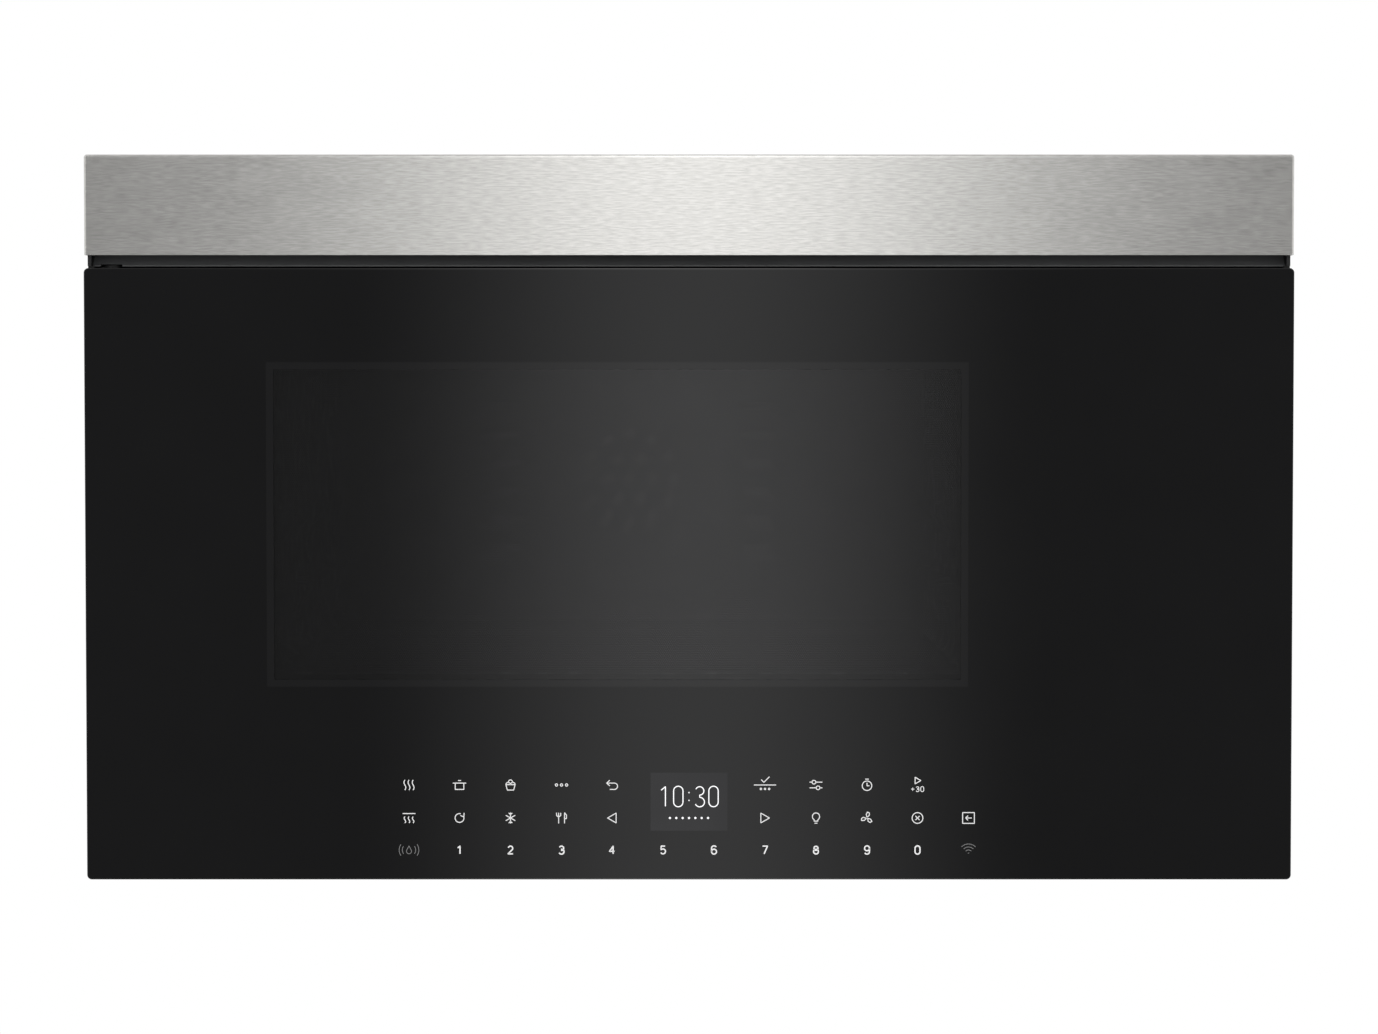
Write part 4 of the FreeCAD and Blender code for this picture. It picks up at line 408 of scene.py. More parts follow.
def see_through(name, tint, roughness, pass_tint):
    """Real glass to the eye, and a plain coloured gap to the rays that look for a lamp."""
    made, tree, shader = new_finish(name, tint, roughness)
    shader.inputs["Transmission Weight"].default_value = 1.0
    shader.inputs["IOR"].default_value = glass_refraction
    rays = add_node(tree, "ShaderNodeLightPath")
    open_gap = add_node(tree, "ShaderNodeBsdfTransparent", inputs={"Color": linear(pass_tint)})
    either = add_node(tree, MATHS, {"operation": "MAXIMUM"},
                      {0: rays.outputs["Is Shadow Ray"], 1: rays.outputs["Is Diffuse Ray"]})
    mixed = add_node(tree, "ShaderNodeMixShader", inputs={0: either, 1: shader, 2: open_gap})
    tree.links.new(mixed.outputs[0], tree.nodes["Material Output"].inputs["Surface"])
    return made


def printed_glass(name, dark, light, refraction=glass_refraction):
    """Polished glass with an opaque print behind it: the print's faint cloud under a sharp reflection."""
    made, tree, shader = new_finish(name, dark, 0.0)
    shader.inputs["IOR"].default_value = refraction
    drive(tree, shader, pattern(tree, NOISE, 60.0)["Fac"], colours=(dark, light), roughness=(0.01, 0.03))
    return made


door_print = printed_glass("black_printed_glass", 0x060607, 0x080809)
display_print = printed_glass("smoked_display_glass", 0x212123, 0x171719)
# The dots of ceramic ink round the window mirror a little more of the room than the plain print does, and
# their colour is a little lighter than the plain print's as painted reflection
dotted_edge_painted_reflection = printed_glass("dotted_window_edge_painted_reflection", 0x0D0D0E, 0x0F0F10, 1.55)
window_glass = see_through("smoked_window_glass", 0xA0A0A2, 0.0, 0xA0A0A2)
finishes["black_glass"] = door_print
finishes["clear_glass"] = see_through("clear_float_glass", 0xE6EDEA, 0.0, 0xE6EDEA)
finishes["frosted_glass"] = see_through("frosted_lamp_glass", 0xE9E9E4, 0.45, 0xC9C9C4)
finishes["display"] = printed_glass("display_lens", 0x141416, 0x18181A)
print("made", door_print.name, display_print.name, dotted_edge_painted_reflection.name, window_glass.name)

# %% [markdown]
# ### Enamel and glass-ceramic
# The oven is lined with a grey vitreous enamel that is fired twice; the second coat is spattered on, which
# leaves light specks a millimetre wide. The floor plate is dark glass-ceramic with a much finer fleck.

# %% Enamel and glass-ceramic
fleck_radius, fleck_edge = 0.12, 0.08  # shares of a cell


def flecked(name, ground, fleck, roughness, cell):
    """A fired surface with flecks: cells of a Voronoi pattern whose middle is light where chance allows."""
    made, tree, shader = new_finish(name, ground, roughness)
    cells = pattern(tree, CELLS, cell)
    spot = add_node(tree, RANGE, inputs={"Value": cells["Distance"], "From Min": fleck_radius,
                                         "From Max": fleck_radius + fleck_edge, "To Min": 1.0, "To Max": 0.0})
    chance = add_node(tree, "ShaderNodeSeparateColor", inputs={0: cells["Color"]})
    shown = add_node(tree, MATHS, {"operation": "MULTIPLY"}, {0: spot, 1: chance})
    drive(tree, shader, shown, (0.0, 1.0), colours=(ground, fleck))
    drive(tree, shader, pattern(tree, NOISE, 12.0)["Fac"], roughness=(roughness, roughness + 0.08))
    drive(tree, shader, pattern(tree, NOISE, 5.0)["Fac"], bump=(0.04, 0.4))
    return made


finishes["cavity_enamel"] = flecked("grey_vitreous_enamel", 0x7E8083, 0xB4B6B8, 0.22, 1.9)
finishes["glass_ceramic"] = flecked("dark_glass_ceramic", 0x1C1D20, 0x606368, 0.08, 1.5)
print("made", finishes["cavity_enamel"].name, finishes["glass_ceramic"].name)

# %% [markdown]
# ### Laminations, circuit boards and charcoal
# Motors and the transformer are stacks of varnished half-millimetre steel sheets. Boards are green solder
# mask over copper tracks, and the charcoal cartridge is packed with black granules two millimetres wide.

# %% Laminations, circuit boards and charcoal
laminated, tree, shader = new_finish("varnished_laminations", 0x5A5C5E, 0.4, metallic=0.7)
# At this scale a dark and a light sheet together take about a millimetre
sheets = add_node(tree, "ShaderNodeTexWave", {"wave_type": "BANDS", "bands_direction": "Y"},
                  {"Vector": millimetres(tree), "Scale": 0.32, "Distortion": 0.6}).outputs["Fac"]
drive(tree, shader, sheets, (0.0, 1.0), colours=(0x47494B, 0x6B6D6F), roughness=(0.34, 0.5), bump=(0.12, 0.5))
finishes["motor_steel"] = laminated

board, tree, shader = new_finish("green_solder_mask", 0x14482A, 0.3)
tracks = pattern(tree, "ShaderNodeTexBrick", 9, settings={"offset": 0.37},
                 inputs={"Mortar Size": 0.045, "Mortar Smooth": 0.1})["Fac"]
drive(tree, shader, tracks, (0.0, 1.0), colours=(0x14482A, 0x2C6B3F), bump=(0.05, 0.5))
drive(tree, shader, pattern(tree, NOISE, 7.0)["Fac"], roughness=(0.26, 0.38))
finishes["circuit_board"] = board

charcoal, tree, shader = new_finish("activated_charcoal", 0x101010, 0.85)
# Each granule is lighter in its middle and darker towards its edge, painted shade in the gaps between
# granules, with bumps for their round shape
granule_shape_and_gap_shade = pattern(tree, CELLS, 2.2)["Distance"]
drive(tree, shader, granule_shape_and_gap_shade, (0.0, 0.8), colours=(0x1D1D1D, 0x070707), roughness=(0.75, 0.95),
      bump=(-0.8, 0.8))
finishes["charcoal"] = charcoal
print("made", laminated.name, board.name, charcoal.name)

# %% [markdown]
# ## Each node takes its finish
# The model's record names one finish for each node, so one loop gives them all. Where a part shows two, a
# test of each face's place picks the faces that take the second.

# %% Give every node its finish
def finish_faces(piece, finish, test):
    """Gives one more finish to the faces of a mesh whose middle and normal pass a test."""
    piece.data.materials.append(finish)
    for face in piece.data.polygons:
        if test(face.center, face.normal):
            face.material_index = len(piece.data.materials) - 1


for part in frame["record"]["subparts"]:
    slots = nodes[part["node"]].data.materials
    slots.clear()
    slots.append(finishes[part["material_slot"]])
# The deflector's slope takes a mid grey, painted light for the light it catches in the slot, and its end
# walls stay black
end_wall = 3 * MM
slope_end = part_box("vent_deflector")[1].x - end_wall
finish_faces(nodes["vent_deflector"], slope_painted_light_abs, lambda middle, normal: abs(middle.x) < slope_end)

# %% [markdown]
# ## The screen in the door
# Behind the window the door's sheet is punched with tens of thousands of small holes, which let light out and
# keep the microwaves in. As geometry they would swamp the model, so the holes are a pattern that makes the
# sheet transparent: a grid of dots, with every other row shifted by half a pitch. It stays inside the window.

# %% Sizes of the window and the holes
glass_low, glass_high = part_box("door_glass")
# Millimetres from the glass's left edge, its right edge and its top edge to the edges of the window
window_left, window_right, window_top, window_bottom = 114, 204, 59, 263
window_low = Vector((glass_low.x + window_left * MM, 0, glass_high.z - window_bottom * MM))
window_high = Vector((glass_high.x - window_right * MM, 0, glass_high.z - window_top * MM))
hole_pitch, hole_radius = 1.3, 0.47  # millimetres
row_height = hole_pitch * math.sqrt(3) / 2
print("open share of the screen:", round(math.pi * hole_radius ** 2 / (hole_pitch * row_height), 2))

# %% Sheet between the holes
screen, tree, shader = new_finish("punched_black_steel", 0x1B1B1D, 0.42)
drive(tree, shader, pattern(tree, NOISE, 1.1)["Fac"], colours=(0x19191A, 0x202022), roughness=(0.38, 0.48))
place = add_node(tree, "ShaderNodeSeparateXYZ", inputs={0: millimetres(tree)})
row = add_node(tree, MATHS, {"operation": "DIVIDE"}, {0: place.outputs["Z"], 1: row_height})
row_number = add_node(tree, MATHS, {"operation": "FLOOR"}, {0: row})
column = add_node(tree, MATHS, {"operation": "DIVIDE"}, {0: place.outputs["X"], 1: hole_pitch})
shifted = add_node(tree, MATHS, {"operation": "MULTIPLY_ADD"}, {0: row_number, 1: 0.5, 2: column})
# How far a point is from the middle of its cell, first across and then up, in millimetres
offsets = []
for count, cell in ((shifted, hole_pitch), (row, row_height)):
    share = add_node(tree, MATHS, {"operation": "FRACT"}, {0: count})
    offset = add_node(tree, MATHS, {"operation": "MULTIPLY_ADD"}, {0: share, 1: cell, 2: -cell / 2})
    offsets.append(offset)
from_middle = add_node(tree, "ShaderNodeCombineXYZ", inputs={0: offsets[0], 1: offsets[1]})
reach = add_node(tree, "ShaderNodeVectorMath", {"operation": "LENGTH"}, {0: from_middle})
web = add_node(tree, MATHS, {"operation": "GREATER_THAN"}, {0: reach.outputs["Value"], 1: hole_radius})
# The sheet is solid between the holes, and outside the window
solid = web
for axis in (0, 2):
    middle = (window_low[axis] + window_high[axis]) / 2 / MM
    half = (window_high[axis] - window_low[axis]) / 2 / MM
    away = add_node(tree, MATHS, {"operation": "SUBTRACT"}, {0: place.outputs[axis], 1: middle})
    away = add_node(tree, MATHS, {"operation": "ABSOLUTE"}, {0: away})
    outside = add_node(tree, MATHS, {"operation": "GREATER_THAN"}, {0: away, 1: half})
    solid = add_node(tree, MATHS, {"operation": "MAXIMUM"}, {0: solid, 1: outside})
tree.links.new(solid.outputs[0], shader.inputs["Alpha"])
nodes["door_panel"].data.materials[0] = screen
print("made", screen.name)

# %% [markdown]
# ## The door's glass
# The printed border, the smoked window and the display field are one sheet of glass. At the window's edge the
# print thins to dots in a band a few millimetres wide. A copy of the solid is merged and cut along the edges
# of these fields with flat cuts, and its faces then take one of four finishes by where they lie. Its front
# moves back by less than a tenth of a millimetre, to leave room for the ink, and stays flat-shaded, because a
# mirror shows the slightest turn of a normal.

# %% Helpers for modelling
def only(piece):
    """Deselects everything and makes one object the active one."""
    if bpy.context.object and bpy.context.object.mode != "OBJECT":
        bpy.ops.object.mode_set(mode="OBJECT")
    bpy.ops.object.select_all(action="DESELECT")
    piece.select_set(True)
    bpy.context.view_layer.objects.active = piece
    return piece


def copy_of(node_name, name):
    """A copy of a node as an object of its own, with its doubled vertices merged."""
    made = nodes[node_name].copy()
    made.data = nodes[node_name].data.copy()
    made.parent = None
    made.name = name
    for key in [k for k in made.keys() if k.startswith("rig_")]:
        del made[key]
    scene.collection.objects.link(made)
    only(made)
    bpy.ops.object.mode_set(mode="EDIT")
    bpy.ops.mesh.select_all(action="SELECT")
    bpy.ops.mesh.remove_doubles(threshold=0.01 * MM)
    bpy.ops.object.mode_set(mode="OBJECT")
    return made


def cut_along(piece, axis, level):
    """Cuts a whole mesh with a plane square to an axis (0 for X, 2 for Z), and keeps both sides."""
    place, normal = Vector((0, 0, 0)), Vector((0, 0, 0))
    place[axis], normal[axis] = level, 1
    only(piece)
    bpy.ops.object.mode_set(mode="EDIT")
    bpy.ops.mesh.select_all(action="SELECT")
    bpy.ops.mesh.bisect(plane_co=place, plane_no=normal)
    bpy.ops.object.mode_set(mode="OBJECT")


def shaped(piece, kind, **settings):
    """Adds a modifier with its settings to a piece and applies it."""
    modifier = piece.modifiers.new(kind.lower(), kind)
    for name, value in settings.items():
        setattr(modifier, name, value)
    only(piece)
    bpy.ops.object.modifier_apply(modifier=modifier.name)


# %% Door glass
ink_room = 0.06 * MM
edge_band = 4.5  # millimetres
display_low, display_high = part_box("display_module")
inward = Vector((edge_band, 0, edge_band)) * MM
fields = [(dotted_edge_painted_reflection, window_low, window_high), (window_glass, window_low + inward, window_high - inward),
          (display_print, display_low, display_high)]
glass = copy_of("door_glass", "door_front_glass")
for _, low, high in fields:
    for axis in (0, 2):
        for level in (low[axis], high[axis]):
            cut_along(glass, axis, level)
glass.data.materials.clear()
glass.data.materials.append(door_print)
for finish, low, high in fields:
    finish_faces(glass, finish,
                 lambda middle, normal: low.x < middle.x < high.x and low.z < middle.z < high.z)
# The front's vertices are the only ones that move
only(glass)
bpy.ops.object.mode_set(mode="EDIT")
bpy.ops.mesh.select_all(action="DESELECT")
bpy.ops.object.mode_set(mode="OBJECT")
for vertex in glass.data.vertices:
    vertex.select = vertex.co.y < door_front + ink_room / 2
bpy.ops.object.mode_set(mode="EDIT")
bpy.ops.transform.translate(value=(0, ink_room, 0))
bpy.ops.object.mode_set(mode="OBJECT")
bpy.ops.object.shade_smooth_by_angle(angle=math.radians(25))
for face in glass.data.polygons:
    if abs(face.normal.y) > 0.999:
        face.use_smooth = False
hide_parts("door_glass")
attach(glass, "door")
print("glass faces:", len(glass.data.polygons))

# %% [markdown]
# ## Printed keys
# The keys are touch fields with white print. The digits are plain digits. The other fields hold simple
# signs: a pot, a clock, a bulb, a fan. Each sign is drawn with strokes in a box of about seven millimetres,
# as a sign painter would, from straight lines and arcs. A stroke is a curve with a round edge, made into a
# mesh and then flattened, so that it lies on the glass like ink.

# %% Helpers for print
ink_thickness = 0.05 * MM
sharp_turn = math.radians(35)
corner_hold, shortest = 0.2, 0.5  # millimetres


def arc(x, z, radius, start=0, end=360, steps=16):
    """Points of an arc in millimetres, between two angles in degrees."""
    angles = [math.radians(start + (end - start) * i / steps) for i in range(steps + 1)]
    return [(x + radius * math.cos(angle), z + radius * math.sin(angle)) for angle in angles]


def lay_on_glass(piece, x, z):
    """Turns a mesh that was drawn in XY to face the front, thins it to ink and sets it on the glass."""
    heights = [vertex.co.z for vertex in piece.data.vertices]
    thin = ink_thickness / (max(heights) - min(heights))
    middle = door_front + ink_room - ink_thickness / 2
    piece.data.transform(Matrix(((1, 0, 0, x), (0, 0, -thin, middle), (0, 1, 0, z), (0, 0, 0, 1))))


def firm_corners(points, closed):
    """Adds two points close to each sharp corner, because a curve thins on its way between two corners."""
    firm = []
    for i, corner in enumerate(points):
        before, after = points[i - 1], points[(i + 1) % len(points)]
        sharp = closed or 0 < i < len(points) - 1
        if sharp:
            into, out = Vector(corner) - Vector(before), Vector(after) - Vector(corner)
            sharp = min(into.length, out.length) > shortest and into.angle(out) > sharp_turn
        if sharp:
            firm.append(tuple(Vector(corner) - into * (corner_hold / into.length)))
        firm.append(corner)
        if sharp:
            firm.append(tuple(Vector(corner) + out * (corner_hold / out.length)))
    return firm


def draw_strokes(name, strokes, x, z, width=0.6):
    """Draws strokes, each a list of points in millimetres round (0, 0), and sets them on the glass."""
    line = bpy.data.curves.new(name, "CURVE")
    line.dimensions = "3D"
    line.bevel_depth = width / 2 * MM
    line.bevel_resolution = 1
    line.use_fill_caps = True
    for points in strokes:
        spline = line.splines.new("POLY")
        closed = points[0] == points[-1] or math.dist(points[0], points[-1]) < 1e-6
        kept = firm_corners(points[:-1] if closed else points, closed)
        spline.points.add(len(kept) - 1)
        spline.use_cyclic_u = closed
        for spot, (u, v) in zip(spline.points, kept):
            spot.co = (u * MM, v * MM, 0, 1)
    drawn = bpy.data.objects.new(name, line)
    scene.collection.objects.link(drawn)
    only(drawn)
    bpy.ops.object.convert(target="MESH")
    drawn = bpy.context.object
    lay_on_glass(drawn, x, z)
    return drawn


# %% Plain digits
def digit_strokes(digit, width, height):
    """The strokes of a plain digit in a box of a width and a height in millimetres, with round bows."""
    w, h = width / 2, height / 2
    low, high = (-h + w * 0.9, h - w * 0.9)
    bow = w * 0.9
    drawings = {
        "0": [arc(0, high, w, 0, 180, 12) + arc(0, low, w, 180, 360, 12) + [(w, high)]],
        "1": [[(-w * 0.7, h - w * 0.75), (w * 0.2, h), (w * 0.2, -h)]],
        "2": [arc(0, high, bow, 165, -35, 12) + [(-w, -h), (w, -h)]],
        "3": [arc(0, high, bow, 155, -90, 12) + arc(0, low, w * 1.02, 90, -155, 14)],
        "4": [[(w * 0.45, -h), (w * 0.45, h), (-w, -h * 0.35), (w, -h * 0.35)]],
        "5": [[(w * 0.85, h), (-w * 0.7, h), (-w * 0.85, h * 0.08)]
              + arc(0, low + w * 0.1, w, 130, -150, 14)],
        "6": [arc(0, low, w, steps=20), [(-w, low)] + arc(0, high, w, 180, 30, 12)],
        "7": [[(-w, h), (w, h), (-w * 0.35, -h)]],
        "8": [arc(0, high, bow * 0.92, steps=18), arc(0, low + w * 0.02, w * 0.98, steps=20)],
        "9": [arc(0, high, w, steps=20), [(w, high)] + arc(0, low, w, 0, -150, 12)],
        ":": [arc(0, h * 0.4, 0.15, steps=6), arc(0, -h * 0.4, 0.15, steps=6)],
        "+": [[(-w, 0), (w, 0)], [(0, -w), (0, w)]],
    }
    return drawings[digit]


def write(name, digits, x, z, width, height, pitch, stroke):
    """Sets a row of digits, sized in millimetres, with its middle at a place on the glass."""
    advance = [pitch * (0.55 if digit == ":" else 1) for digit in digits]
    pen = -sum(advance) / 2
    strokes = []
    for digit, step in zip(digits, advance):
        for points in digit_strokes(digit, width, height):
            strokes.append([(u + pen + step / 2, v) for u, v in points])
        pen += step
    return draw_strokes(name, strokes, x, z, stroke)


# %% Joined pieces
def joined(pieces, name, finish, body):
    """Joins meshes to one piece with one finish that rides on a body."""
    only(pieces[0])
    for piece in pieces:
        piece.select_set(True)
    bpy.ops.object.join()
    made = bpy.context.object
    made.name = name
    made.data.materials.clear()
    made.data.materials.append(finish)
    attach(made, body)
    return made


# %% Ink
def ink(name, dark, light):
    """Screen-printed ink: nearly even, with the faint mottle of a mesh print."""
    made, tree, shader = new_finish(name, light, 0.5)
    drive(tree, shader, pattern(tree, NOISE, 0.5)["Fac"], colours=(dark, light), roughness=(0.45, 0.6))
    return made


white_ink = ink("white_screen_ink", 0xF0F0F0, 0xFAFAFA)
grey_ink = ink("grey_screen_ink", 0x7A7A7A, 0x868686)
# The clock is lit from behind by the display, so its ink also glows
lit_segments = ink("lit_display_segments", 0xF4F4F4, 0xFAFAFA)
glow = lit_segments.node_tree.nodes["Principled BSDF"].inputs
glow["Emission Color"].default_value = linear(0xF4F7FA)
glow["Emission Strength"].default_value = 0.35
print("inks:", white_ink.name, grey_ink.name, lit_segments.name)

# %% Signs for the keys
def turned(points, degrees):
    """Points turned about the middle of the sign."""
    c, s = math.cos(math.radians(degrees)), math.sin(math.radians(degrees))
    return [(x * c - z * s, x * s + z * c) for x, z in points]


def wave(x, low, high, swing=0.6, steps=8):
    """A rising wavy line."""
    shares = [i / steps for i in range(steps + 1)]
    return [(x + swing * math.sin(2 * math.pi * share), low + (high - low) * share) for share in shares]


petal = [(0, 0.5), (1.5, 1.7), (1.5, 3.1), (0.3, 3.8), (-0.5, 2.2), (0, 0.5)]
crystal_arm = [[(0, -3.4), (0, 3.4)], [(-1.1, 3.2), (0, 2.1), (1.1, 3.2)],
               [(-1.1, -3.2), (0, -2.1), (1.1, -3.2)]]
slider_places = ((-1.3, 1.8), (1.3, -1.8))
drop = arc(0, -0.8, 1.6, -215, 35, 12) + [(0, 2.6)]
SIGNS = {
    "hot_air": [wave(x, -3.2, 3.2) for x in (-2.6, 0, 2.6)],
    "pot": [[(-2.7, 1.2), (-2.7, -2.8), (2.7, -2.8), (2.7, 1.2)], [(-4.2, 1.2), (4.2, 1.2)],
            [(-0.9, 2.8), (0.9, 2.8)]],
    "kernels": [[(-2.9, 0.2), (-2.0, -3.2), (2.0, -3.2), (2.9, 0.2), (-2.9, 0.2)],
                arc(-1.45, 0.2, 1.45, 180, 0, 8), arc(1.45, 0.2, 1.45, 180, 0, 8),
                arc(0, 1.9, 1.3, 215, -35, 10)],
    "choices": [arc(x, 0, 0.75, steps=10) for x in (-3.2, 0, 3.2)],
    "back": [[(-1.4, 3.0), (-3.4, 1.2), (-1.4, -0.6)],
             [(-3.4, 1.2), (1.5, 1.2)] + arc(1.5, -0.8, 2.0, 90, -90, 10) + [(-1.4, -2.8)]],
    "accept": [[(-2.4, 3.4), (-0.7, 1.7), (2.8, 5.2)], [(-7.0, 0), (7.0, 0)]]
              + [arc(x, -2.5, 0.5, steps=8) for x in (-2.6, 0, 2.6)],
    "sliders": [[(-4.0, z), (x - 1.2, z)] for x, z in slider_places]
               + [[(x + 1.2, z), (4.0, z)] for x, z in slider_places]
               + [arc(x, z, 1.2, steps=12) for x, z in slider_places],
    "timer": [arc(0, -0.5, 3.0, steps=24), [(0, 1.4), (0, -0.5), (1.5, -0.5)], [(-1.1, 3.7), (1.1, 3.7)]],
    "start": [[(-1.5, 4.9), (2.1, 2.8), (-1.5, 0.7), (-1.5, 4.9)]],
    "grill": [[(-4.0, 2.8), (4.0, 2.8)]] + [wave(x, -3.2, 0.9, 0.5) for x in (-2.6, 0, 2.6)],
    "reheat": [arc(0, 0, 2.8, 75, 375, 20), [(2.9, 3.2), (2.75, 0.7), (0.6, 1.6)]],
    "defrost": crystal_arm + [turned(points, turn) for turn in (60, 120) for points in crystal_arm[:1]],
    "cutlery": [[(-1.8, -3.4), (-1.8, 3.3)],
                [(-3.1, 3.3), (-3.1, 1.5), (-1.8, 0.6), (-0.5, 1.5), (-0.5, 3.3)],
                [(1.9, -3.4), (1.9, 3.3), (3.1, 1.9), (3.1, -0.4), (1.9, -0.4)]],
    "left": [[(2.6, 3.1), (-2.8, 0), (2.6, -3.1), (2.6, 3.1)]],
    "bulb": [arc(0, 0.9, 2.3, -60, 240, 18) + [(-1.15, -2.0), (1.15, -2.0), (1.15, -1.1)],
             [(-0.9, -3.3), (0.9, -3.3)]],
    "fan": [turned(petal, turn) for turn in (0, 120, 240)],
    "cancel": [arc(0, 0, 3.4, steps=24), [(-1.3, -1.3), (1.3, 1.3)], [(-1.3, 1.3), (1.3, -1.3)]],
    "door": [[(-3.7, -3.4), (3.7, -3.4), (3.7, 3.4), (-3.7, 3.4), (-3.7, -3.4)],
             [(-0.3, 1.5), (-1.8, 0), (-0.3, -1.5)], [(-1.8, 0), (2.1, 0)]],
    "steam": [drop + drop[:1]] + [arc(0, 0, radius, middle - 35, middle + 35, 8)
                                  for radius in (4.2, 6.2) for middle in (0, 180)],
    "signal": [arc(0, -2.4, radius, 45, 135, 10) for radius in (0.5, 2.4, 4.3, 6.2)],
}
SIGNS["right"] = [[(-x, z) for x, z in SIGNS["left"][0]]]
print("signs:", len(SIGNS))

# %% Keys on the glass
# Columns and rows in pixels of the photograph
columns = [409, 459.5, 510.5, 561.5, 612, 663, 714, 765, 816, 867, 917.5, 968.5]
upper_row, middle_row, lower_row = 785, 818, 850
upper_signs = {0: "hot_air", 1: "pot", 2: "kernels", 3: "choices", 4: "back", 7: "accept", 8: "sliders",
               9: "timer", 10: "start"}
middle_signs = {0: "grill", 1: "reheat", 2: "defrost", 3: "cutlery", 4: "left", 7: "right", 8: "bulb",
                9: "fan", 10: "cancel", 11: "door"}
lower_signs = {0: "steam", 11: "signal"}

signs = []
for row, row_signs in ((upper_row, upper_signs), (middle_row, middle_signs)):
    for column, sign in row_signs.items():
        signs.append(draw_strokes(sign, SIGNS[sign], *on_door(columns[column], row)))
for column, digit in enumerate("1234567890", start=1):
    signs.append(write("digit_" + digit, digit, *on_door(columns[column], lower_row),
                       width=3.1, height=4.9, pitch=3.0, stroke=0.9))
below_sign = 2.6 * MM
start_x, start_z = on_door(columns[10], upper_row)
signs.append(write("plus_thirty", "+30", start_x, start_z - below_sign,
                   width=1.9, height=3.0, pitch=3.0, stroke=0.5))
key_print = joined(signs, "key_print", white_ink, "door")

hints = [draw_strokes(sign, SIGNS[sign], *on_door(columns[column], lower_row), width=0.42)
         for column, sign in lower_signs.items()]
hint_print = joined(hints, "hint_print", grey_ink, "door")
print("keys:", len(signs), "hints:", len(hints))

# %% [markdown]
# ## Clock
# The display shows the time in thin upright digits, with a dot for each day under them.

# %% Clock on the display
clock_row, week_row = 796.5, 818  # pixels of the photograph
dot_pitch, dot_radius = 4.0, 0.45  # millimetres
clock = [write("clock_digits", "10:30", *on_door(photo_width / 2, clock_row),
               width=5.9, height=12.4, pitch=8.7, stroke=0.66)]
week = [arc(dot_pitch * day, 0, dot_radius, steps=8) for day in range(-3, 4)]
clock.append(draw_strokes("week", week, *on_door(photo_width / 2, week_row), width=0.6))
clock_print = joined(clock, "clock_print", lit_segments, "door")
print("print faces:", len(key_print.data.polygons), len(clock_print.data.polygons))

# %% [markdown]
# ## Ledges in the oven
# The ledges that carry the rack are pressed from sheet, so their edges are round and catch a thin line of
# light through the window. The solids have sharp edges. A copy gets a bevel of 1.5 mm.

# %% Ledges in the oven
ledges = copy_of("rack_supports", "rounded_ledges")
ledge_round = 1.5 * MM
shaped(ledges, "BEVEL", width=ledge_round, segments=3, limit_method="ANGLE", angle_limit=math.radians(40))
bpy.ops.object.shade_smooth_by_angle(angle=math.radians(50))
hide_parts("rack_supports")
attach(ledges, "cabinet")
print("ledge faces:", len(ledges.data.polygons))

# %% [markdown]
# ## Case screws
# The case is held by small pan head screws with a cross recess. One head is modelled at the origin: a disc
# with a rounded upper edge, and a cross of two tapered bars taken out of it. Copies with meshes of their own
# then go to the places of the solids' heads, each turned differently, as screws are when they come to rest.

# %% One screw head
head_radius, head_height, crown_width = 3.5 * MM, 2.0 * MM, 1.1 * MM
recess_length, recess_width, recess_depth = 4.0 * MM, 0.9 * MM, 1.3 * MM
tip_length, tip_width = 0.45, 0.725  # shares of the recess's length and width
head_reach = 2.3 * head_radius  # two points of one head are closer to each other than this
turn_between = 37  # degrees from one screw to the next
head = primitive(bpy.ops.mesh.primitive_cylinder_add, vertices=32, radius=head_radius, depth=head_height)
head.data.transform(Matrix.Translation((0, 0, head_height / 2)))
shaped(head, "BEVEL", width=crown_width, segments=4, limit_method="ANGLE", angle_limit=math.radians(60))
for turn in (0, 90):
    bar = primitive(bpy.ops.mesh.primitive_cube_add, size=1)
    for vertex in bar.data.vertices:
        # The bar narrows towards its lower end, as the tip of a screwdriver does, and reaches out of the head
        x, y = vertex.co.x * recess_length, vertex.co.y * recess_width
        if vertex.co.z > 0:
            vertex.co = (x, y, head_height + 0.1 * head_height)
        else:
            vertex.co = (x * tip_length, y * tip_width, head_height - recess_depth)
    bar.data.transform(Matrix.Rotation(math.radians(turn), 4, "Z"))
    shaped(head, "BOOLEAN", operation="DIFFERENCE", solver="EXACT", object=bar)
    bpy.data.objects.remove(bar)
bpy.ops.object.shade_smooth_by_angle(angle=math.radians(35))
print("faces of one head:", len(head.data.polygons))

# %% A copy of the head at each screw
places = []
for vertex in nodes["case_screws"].data.vertices:
    for place in places:
        if (place[0] - vertex.co).length < head_reach:
            place.append(vertex.co)
            break
    else:
        places.append([vertex.co])
heads = []
for i, place in enumerate(places):
    low, high = (Vector([pick(co[axis] for co in place) for axis in range(3)]) for pick in (min, max))
    upward = 1 if low.z > 0 else -1
    seat = Vector(((low.x + high.x) / 2, (low.y + high.y) / 2, low.z if upward > 0 else high.z))
    screw = bpy.data.objects.new("pan_head", head.data.copy())
    scene.collection.objects.link(screw)
    # A head under the case is turned over round X, so that its mesh isn't mirrored
    screw.data.transform(Matrix.Translation(seat) @ Matrix.Diagonal((1, upward, upward, 1))
                         @ Matrix.Rotation(math.radians(turn_between * i), 4, "Z"))
    heads.append(screw)
bpy.data.objects.remove(head)
screws = joined(heads, "pan_head_screws", finishes["zinc_steel"], "cabinet")
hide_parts("case_screws")
print("screws:", len(places), "faces:", len(screws.data.polygons))

# %% [markdown]
# ## Seals under the ends of the air slot
# A strip of black foam under each end wall of the deflector closes the slot's end down to the door, so that
# no light shows through the gap from the front. It stops a quarter of a millimetre short of the door's swing.

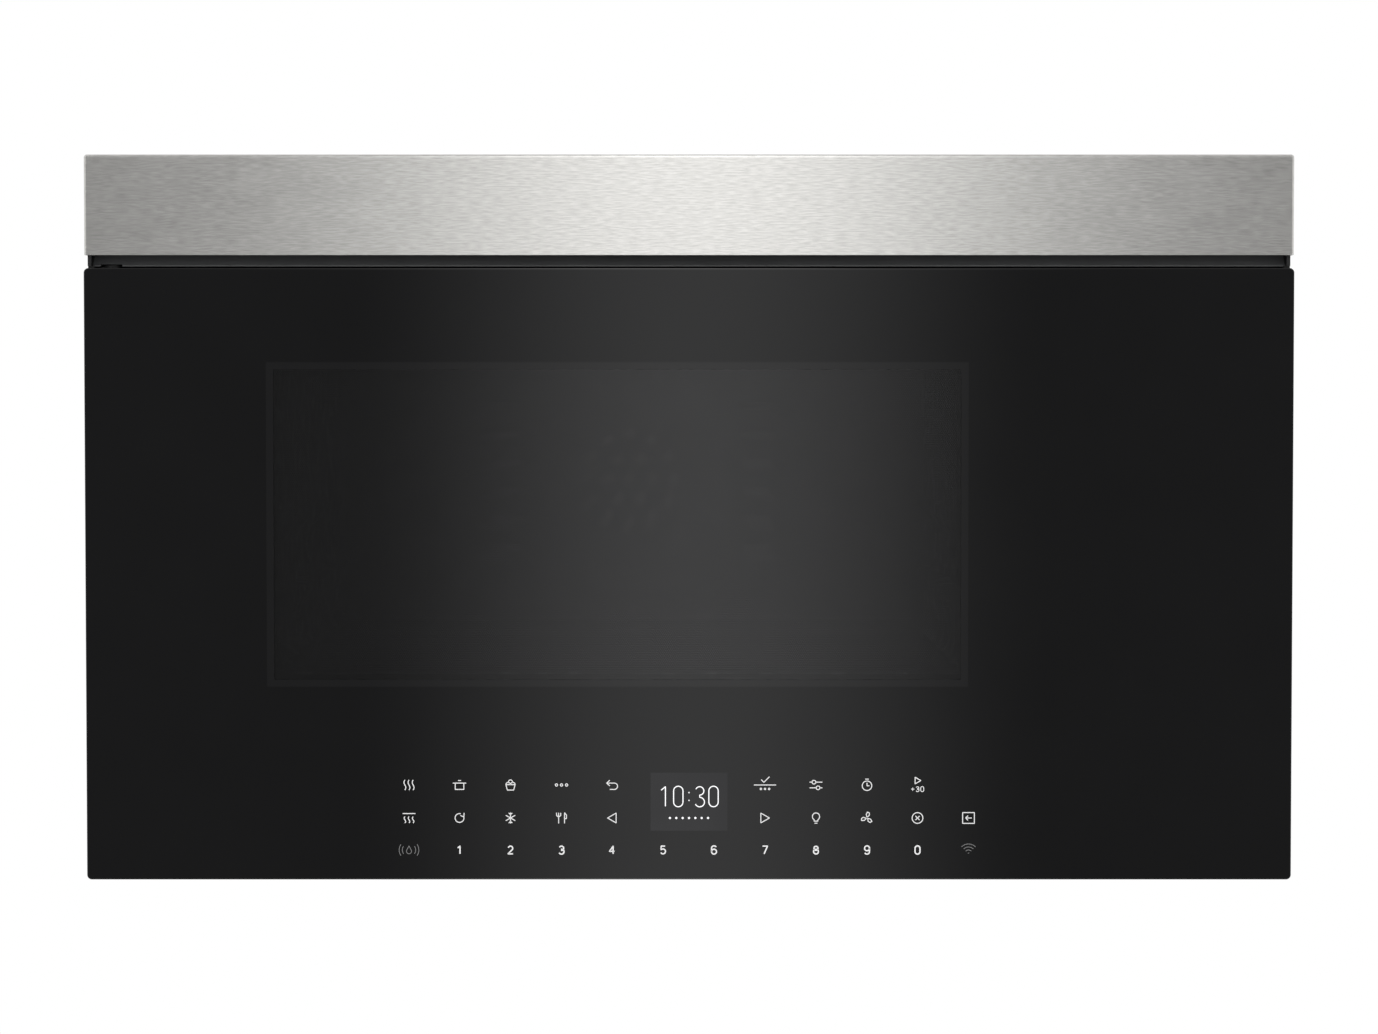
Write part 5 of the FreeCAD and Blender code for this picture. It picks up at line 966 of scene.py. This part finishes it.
# %% Seals under the slot's ends
deflector_low, deflector_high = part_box("vent_deflector")
door_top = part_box("door_glass")[1].z
seal_width, seal_inset = 3.8 * MM, 0.1 * MM
front_inset, back_inset = 1 * MM, 4 * MM
door_clearance, squeeze = 0.25 * MM, 0.05 * MM
high = Vector((deflector_high.x - seal_inset, deflector_high.y - back_inset, deflector_low.z + squeeze))
low = Vector((high.x - seal_width, deflector_low.y + front_inset, door_top + door_clearance))
for name, side in (("slot_seal_left", -1), ("slot_seal_right", 1)):
    seal = primitive(bpy.ops.mesh.primitive_cube_add, size=1)
    seal.name = name
    middle = Vector((side, 1, 1)) * (low + high) / 2
    seal.data.transform(Matrix.Translation(middle) @ Matrix.Diagonal((*(high - low), 1)))
    seal.data.materials.append(finishes["rubber"])
    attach(seal, "cabinet")
print("seal height, mm:", round((high.z - low.z) / MM, 2))

# %% [markdown]
# ## Mesh of the grease filters
# A grease filter is a pad of aluminium mesh between two ribbed frames. The sheet that shows from below is
# expanded metal: slit and pulled open, so that it forms a net of diamonds. A grid is poked, its own edges are
# dissolved, which leaves the diamonds, and the wireframe modifier gives the strands their thickness.

# %% Sizes of the mesh, and the layers behind it with their painted shade
diamond = Vector((9.0, 6.0)) * MM  # width and length of one
strand, rim = 0.7 * MM, 9.5 * MM
filter_length = 150 * MM  # from the front edge to where the tabs begin
pull_depth, pad_depth = 0.9 * MM, 2.0 * MM  # the pull tab hangs under the rim, and the pad lies inside it
tolerance = 0.001 * MM
# The pad's underside stands for packed layers of aluminium mesh: lighter in the middle of each cell and
# darker towards its edge, painted shade between the layers, with bumps for their depth
mesh_layers_painted_shade, tree, shader = new_finish("mesh_layers_with_painted_shade", 0x55585B, 0.5, metallic=0.6)
drive(tree, shader, pattern(tree, CELLS, 2.0)["Distance"], (0.1, 0.7), colours=(0x7A7D80, 0x2A2C2E),
      roughness=(0.35, 0.7), bump=(-0.6, 0.7))
print("made", mesh_layers_painted_shade.name)

# %% Expanded mesh of the grease filters
for side in ("left", "right"):
    low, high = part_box("grease_filter_" + side)
    width, length = high.x - low.x - 2 * rim, filter_length - 2 * rim
    pad_low = low.z + pull_depth + pad_depth
    net = primitive(bpy.ops.mesh.primitive_grid_add, x_subdivisions=round(width / diamond.x),
                    y_subdivisions=round(length / diamond.y), size=1)
    net.name = "expanded_mesh_" + side
    net.data.transform(Matrix.Diagonal((width, length, 1, 1)))
    bpy.ops.object.mode_set(mode="EDIT")
    bpy.ops.mesh.select_all(action="SELECT")
    bpy.ops.mesh.poke()
    bpy.ops.mesh.select_all(action="DESELECT")
    bpy.ops.mesh.select_mode(type="EDGE")
    bpy.ops.object.mode_set(mode="OBJECT")
    # An edge along X or Y belonged to the grid. The ones on the border stay, so that the net is closed there
    for edge in net.data.edges:
        a, b = (net.data.vertices[i].co for i in edge.vertices)
        for axis, half in ((0, width / 2), (1, length / 2)):
            if abs(a[axis] - b[axis]) < tolerance:
                edge.select = abs(abs(a[axis]) - half) > tolerance
    bpy.ops.object.mode_set(mode="EDIT")
    bpy.ops.mesh.dissolve_edges(use_verts=False)
    bpy.ops.mesh.select_mode(type="VERT")
    bpy.ops.object.mode_set(mode="OBJECT")
    shaped(net, "WIREFRAME", thickness=strand, use_even_offset=False)
    middle = ((low.x + high.x) / 2, low.y + filter_length / 2, pad_low - strand / 2)
    net.data.transform(Matrix.Translation(middle))
    net.data.materials.append(mill)
    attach(net, side + "_filter")
    finish_faces(nodes["grease_filter_" + side], mesh_layers_painted_shade,
                 lambda middle, normal: normal.z < -0.9 and abs(middle.z - pad_low) < 0.3 * MM)
    print(net.name, "faces:", len(net.data.polygons))
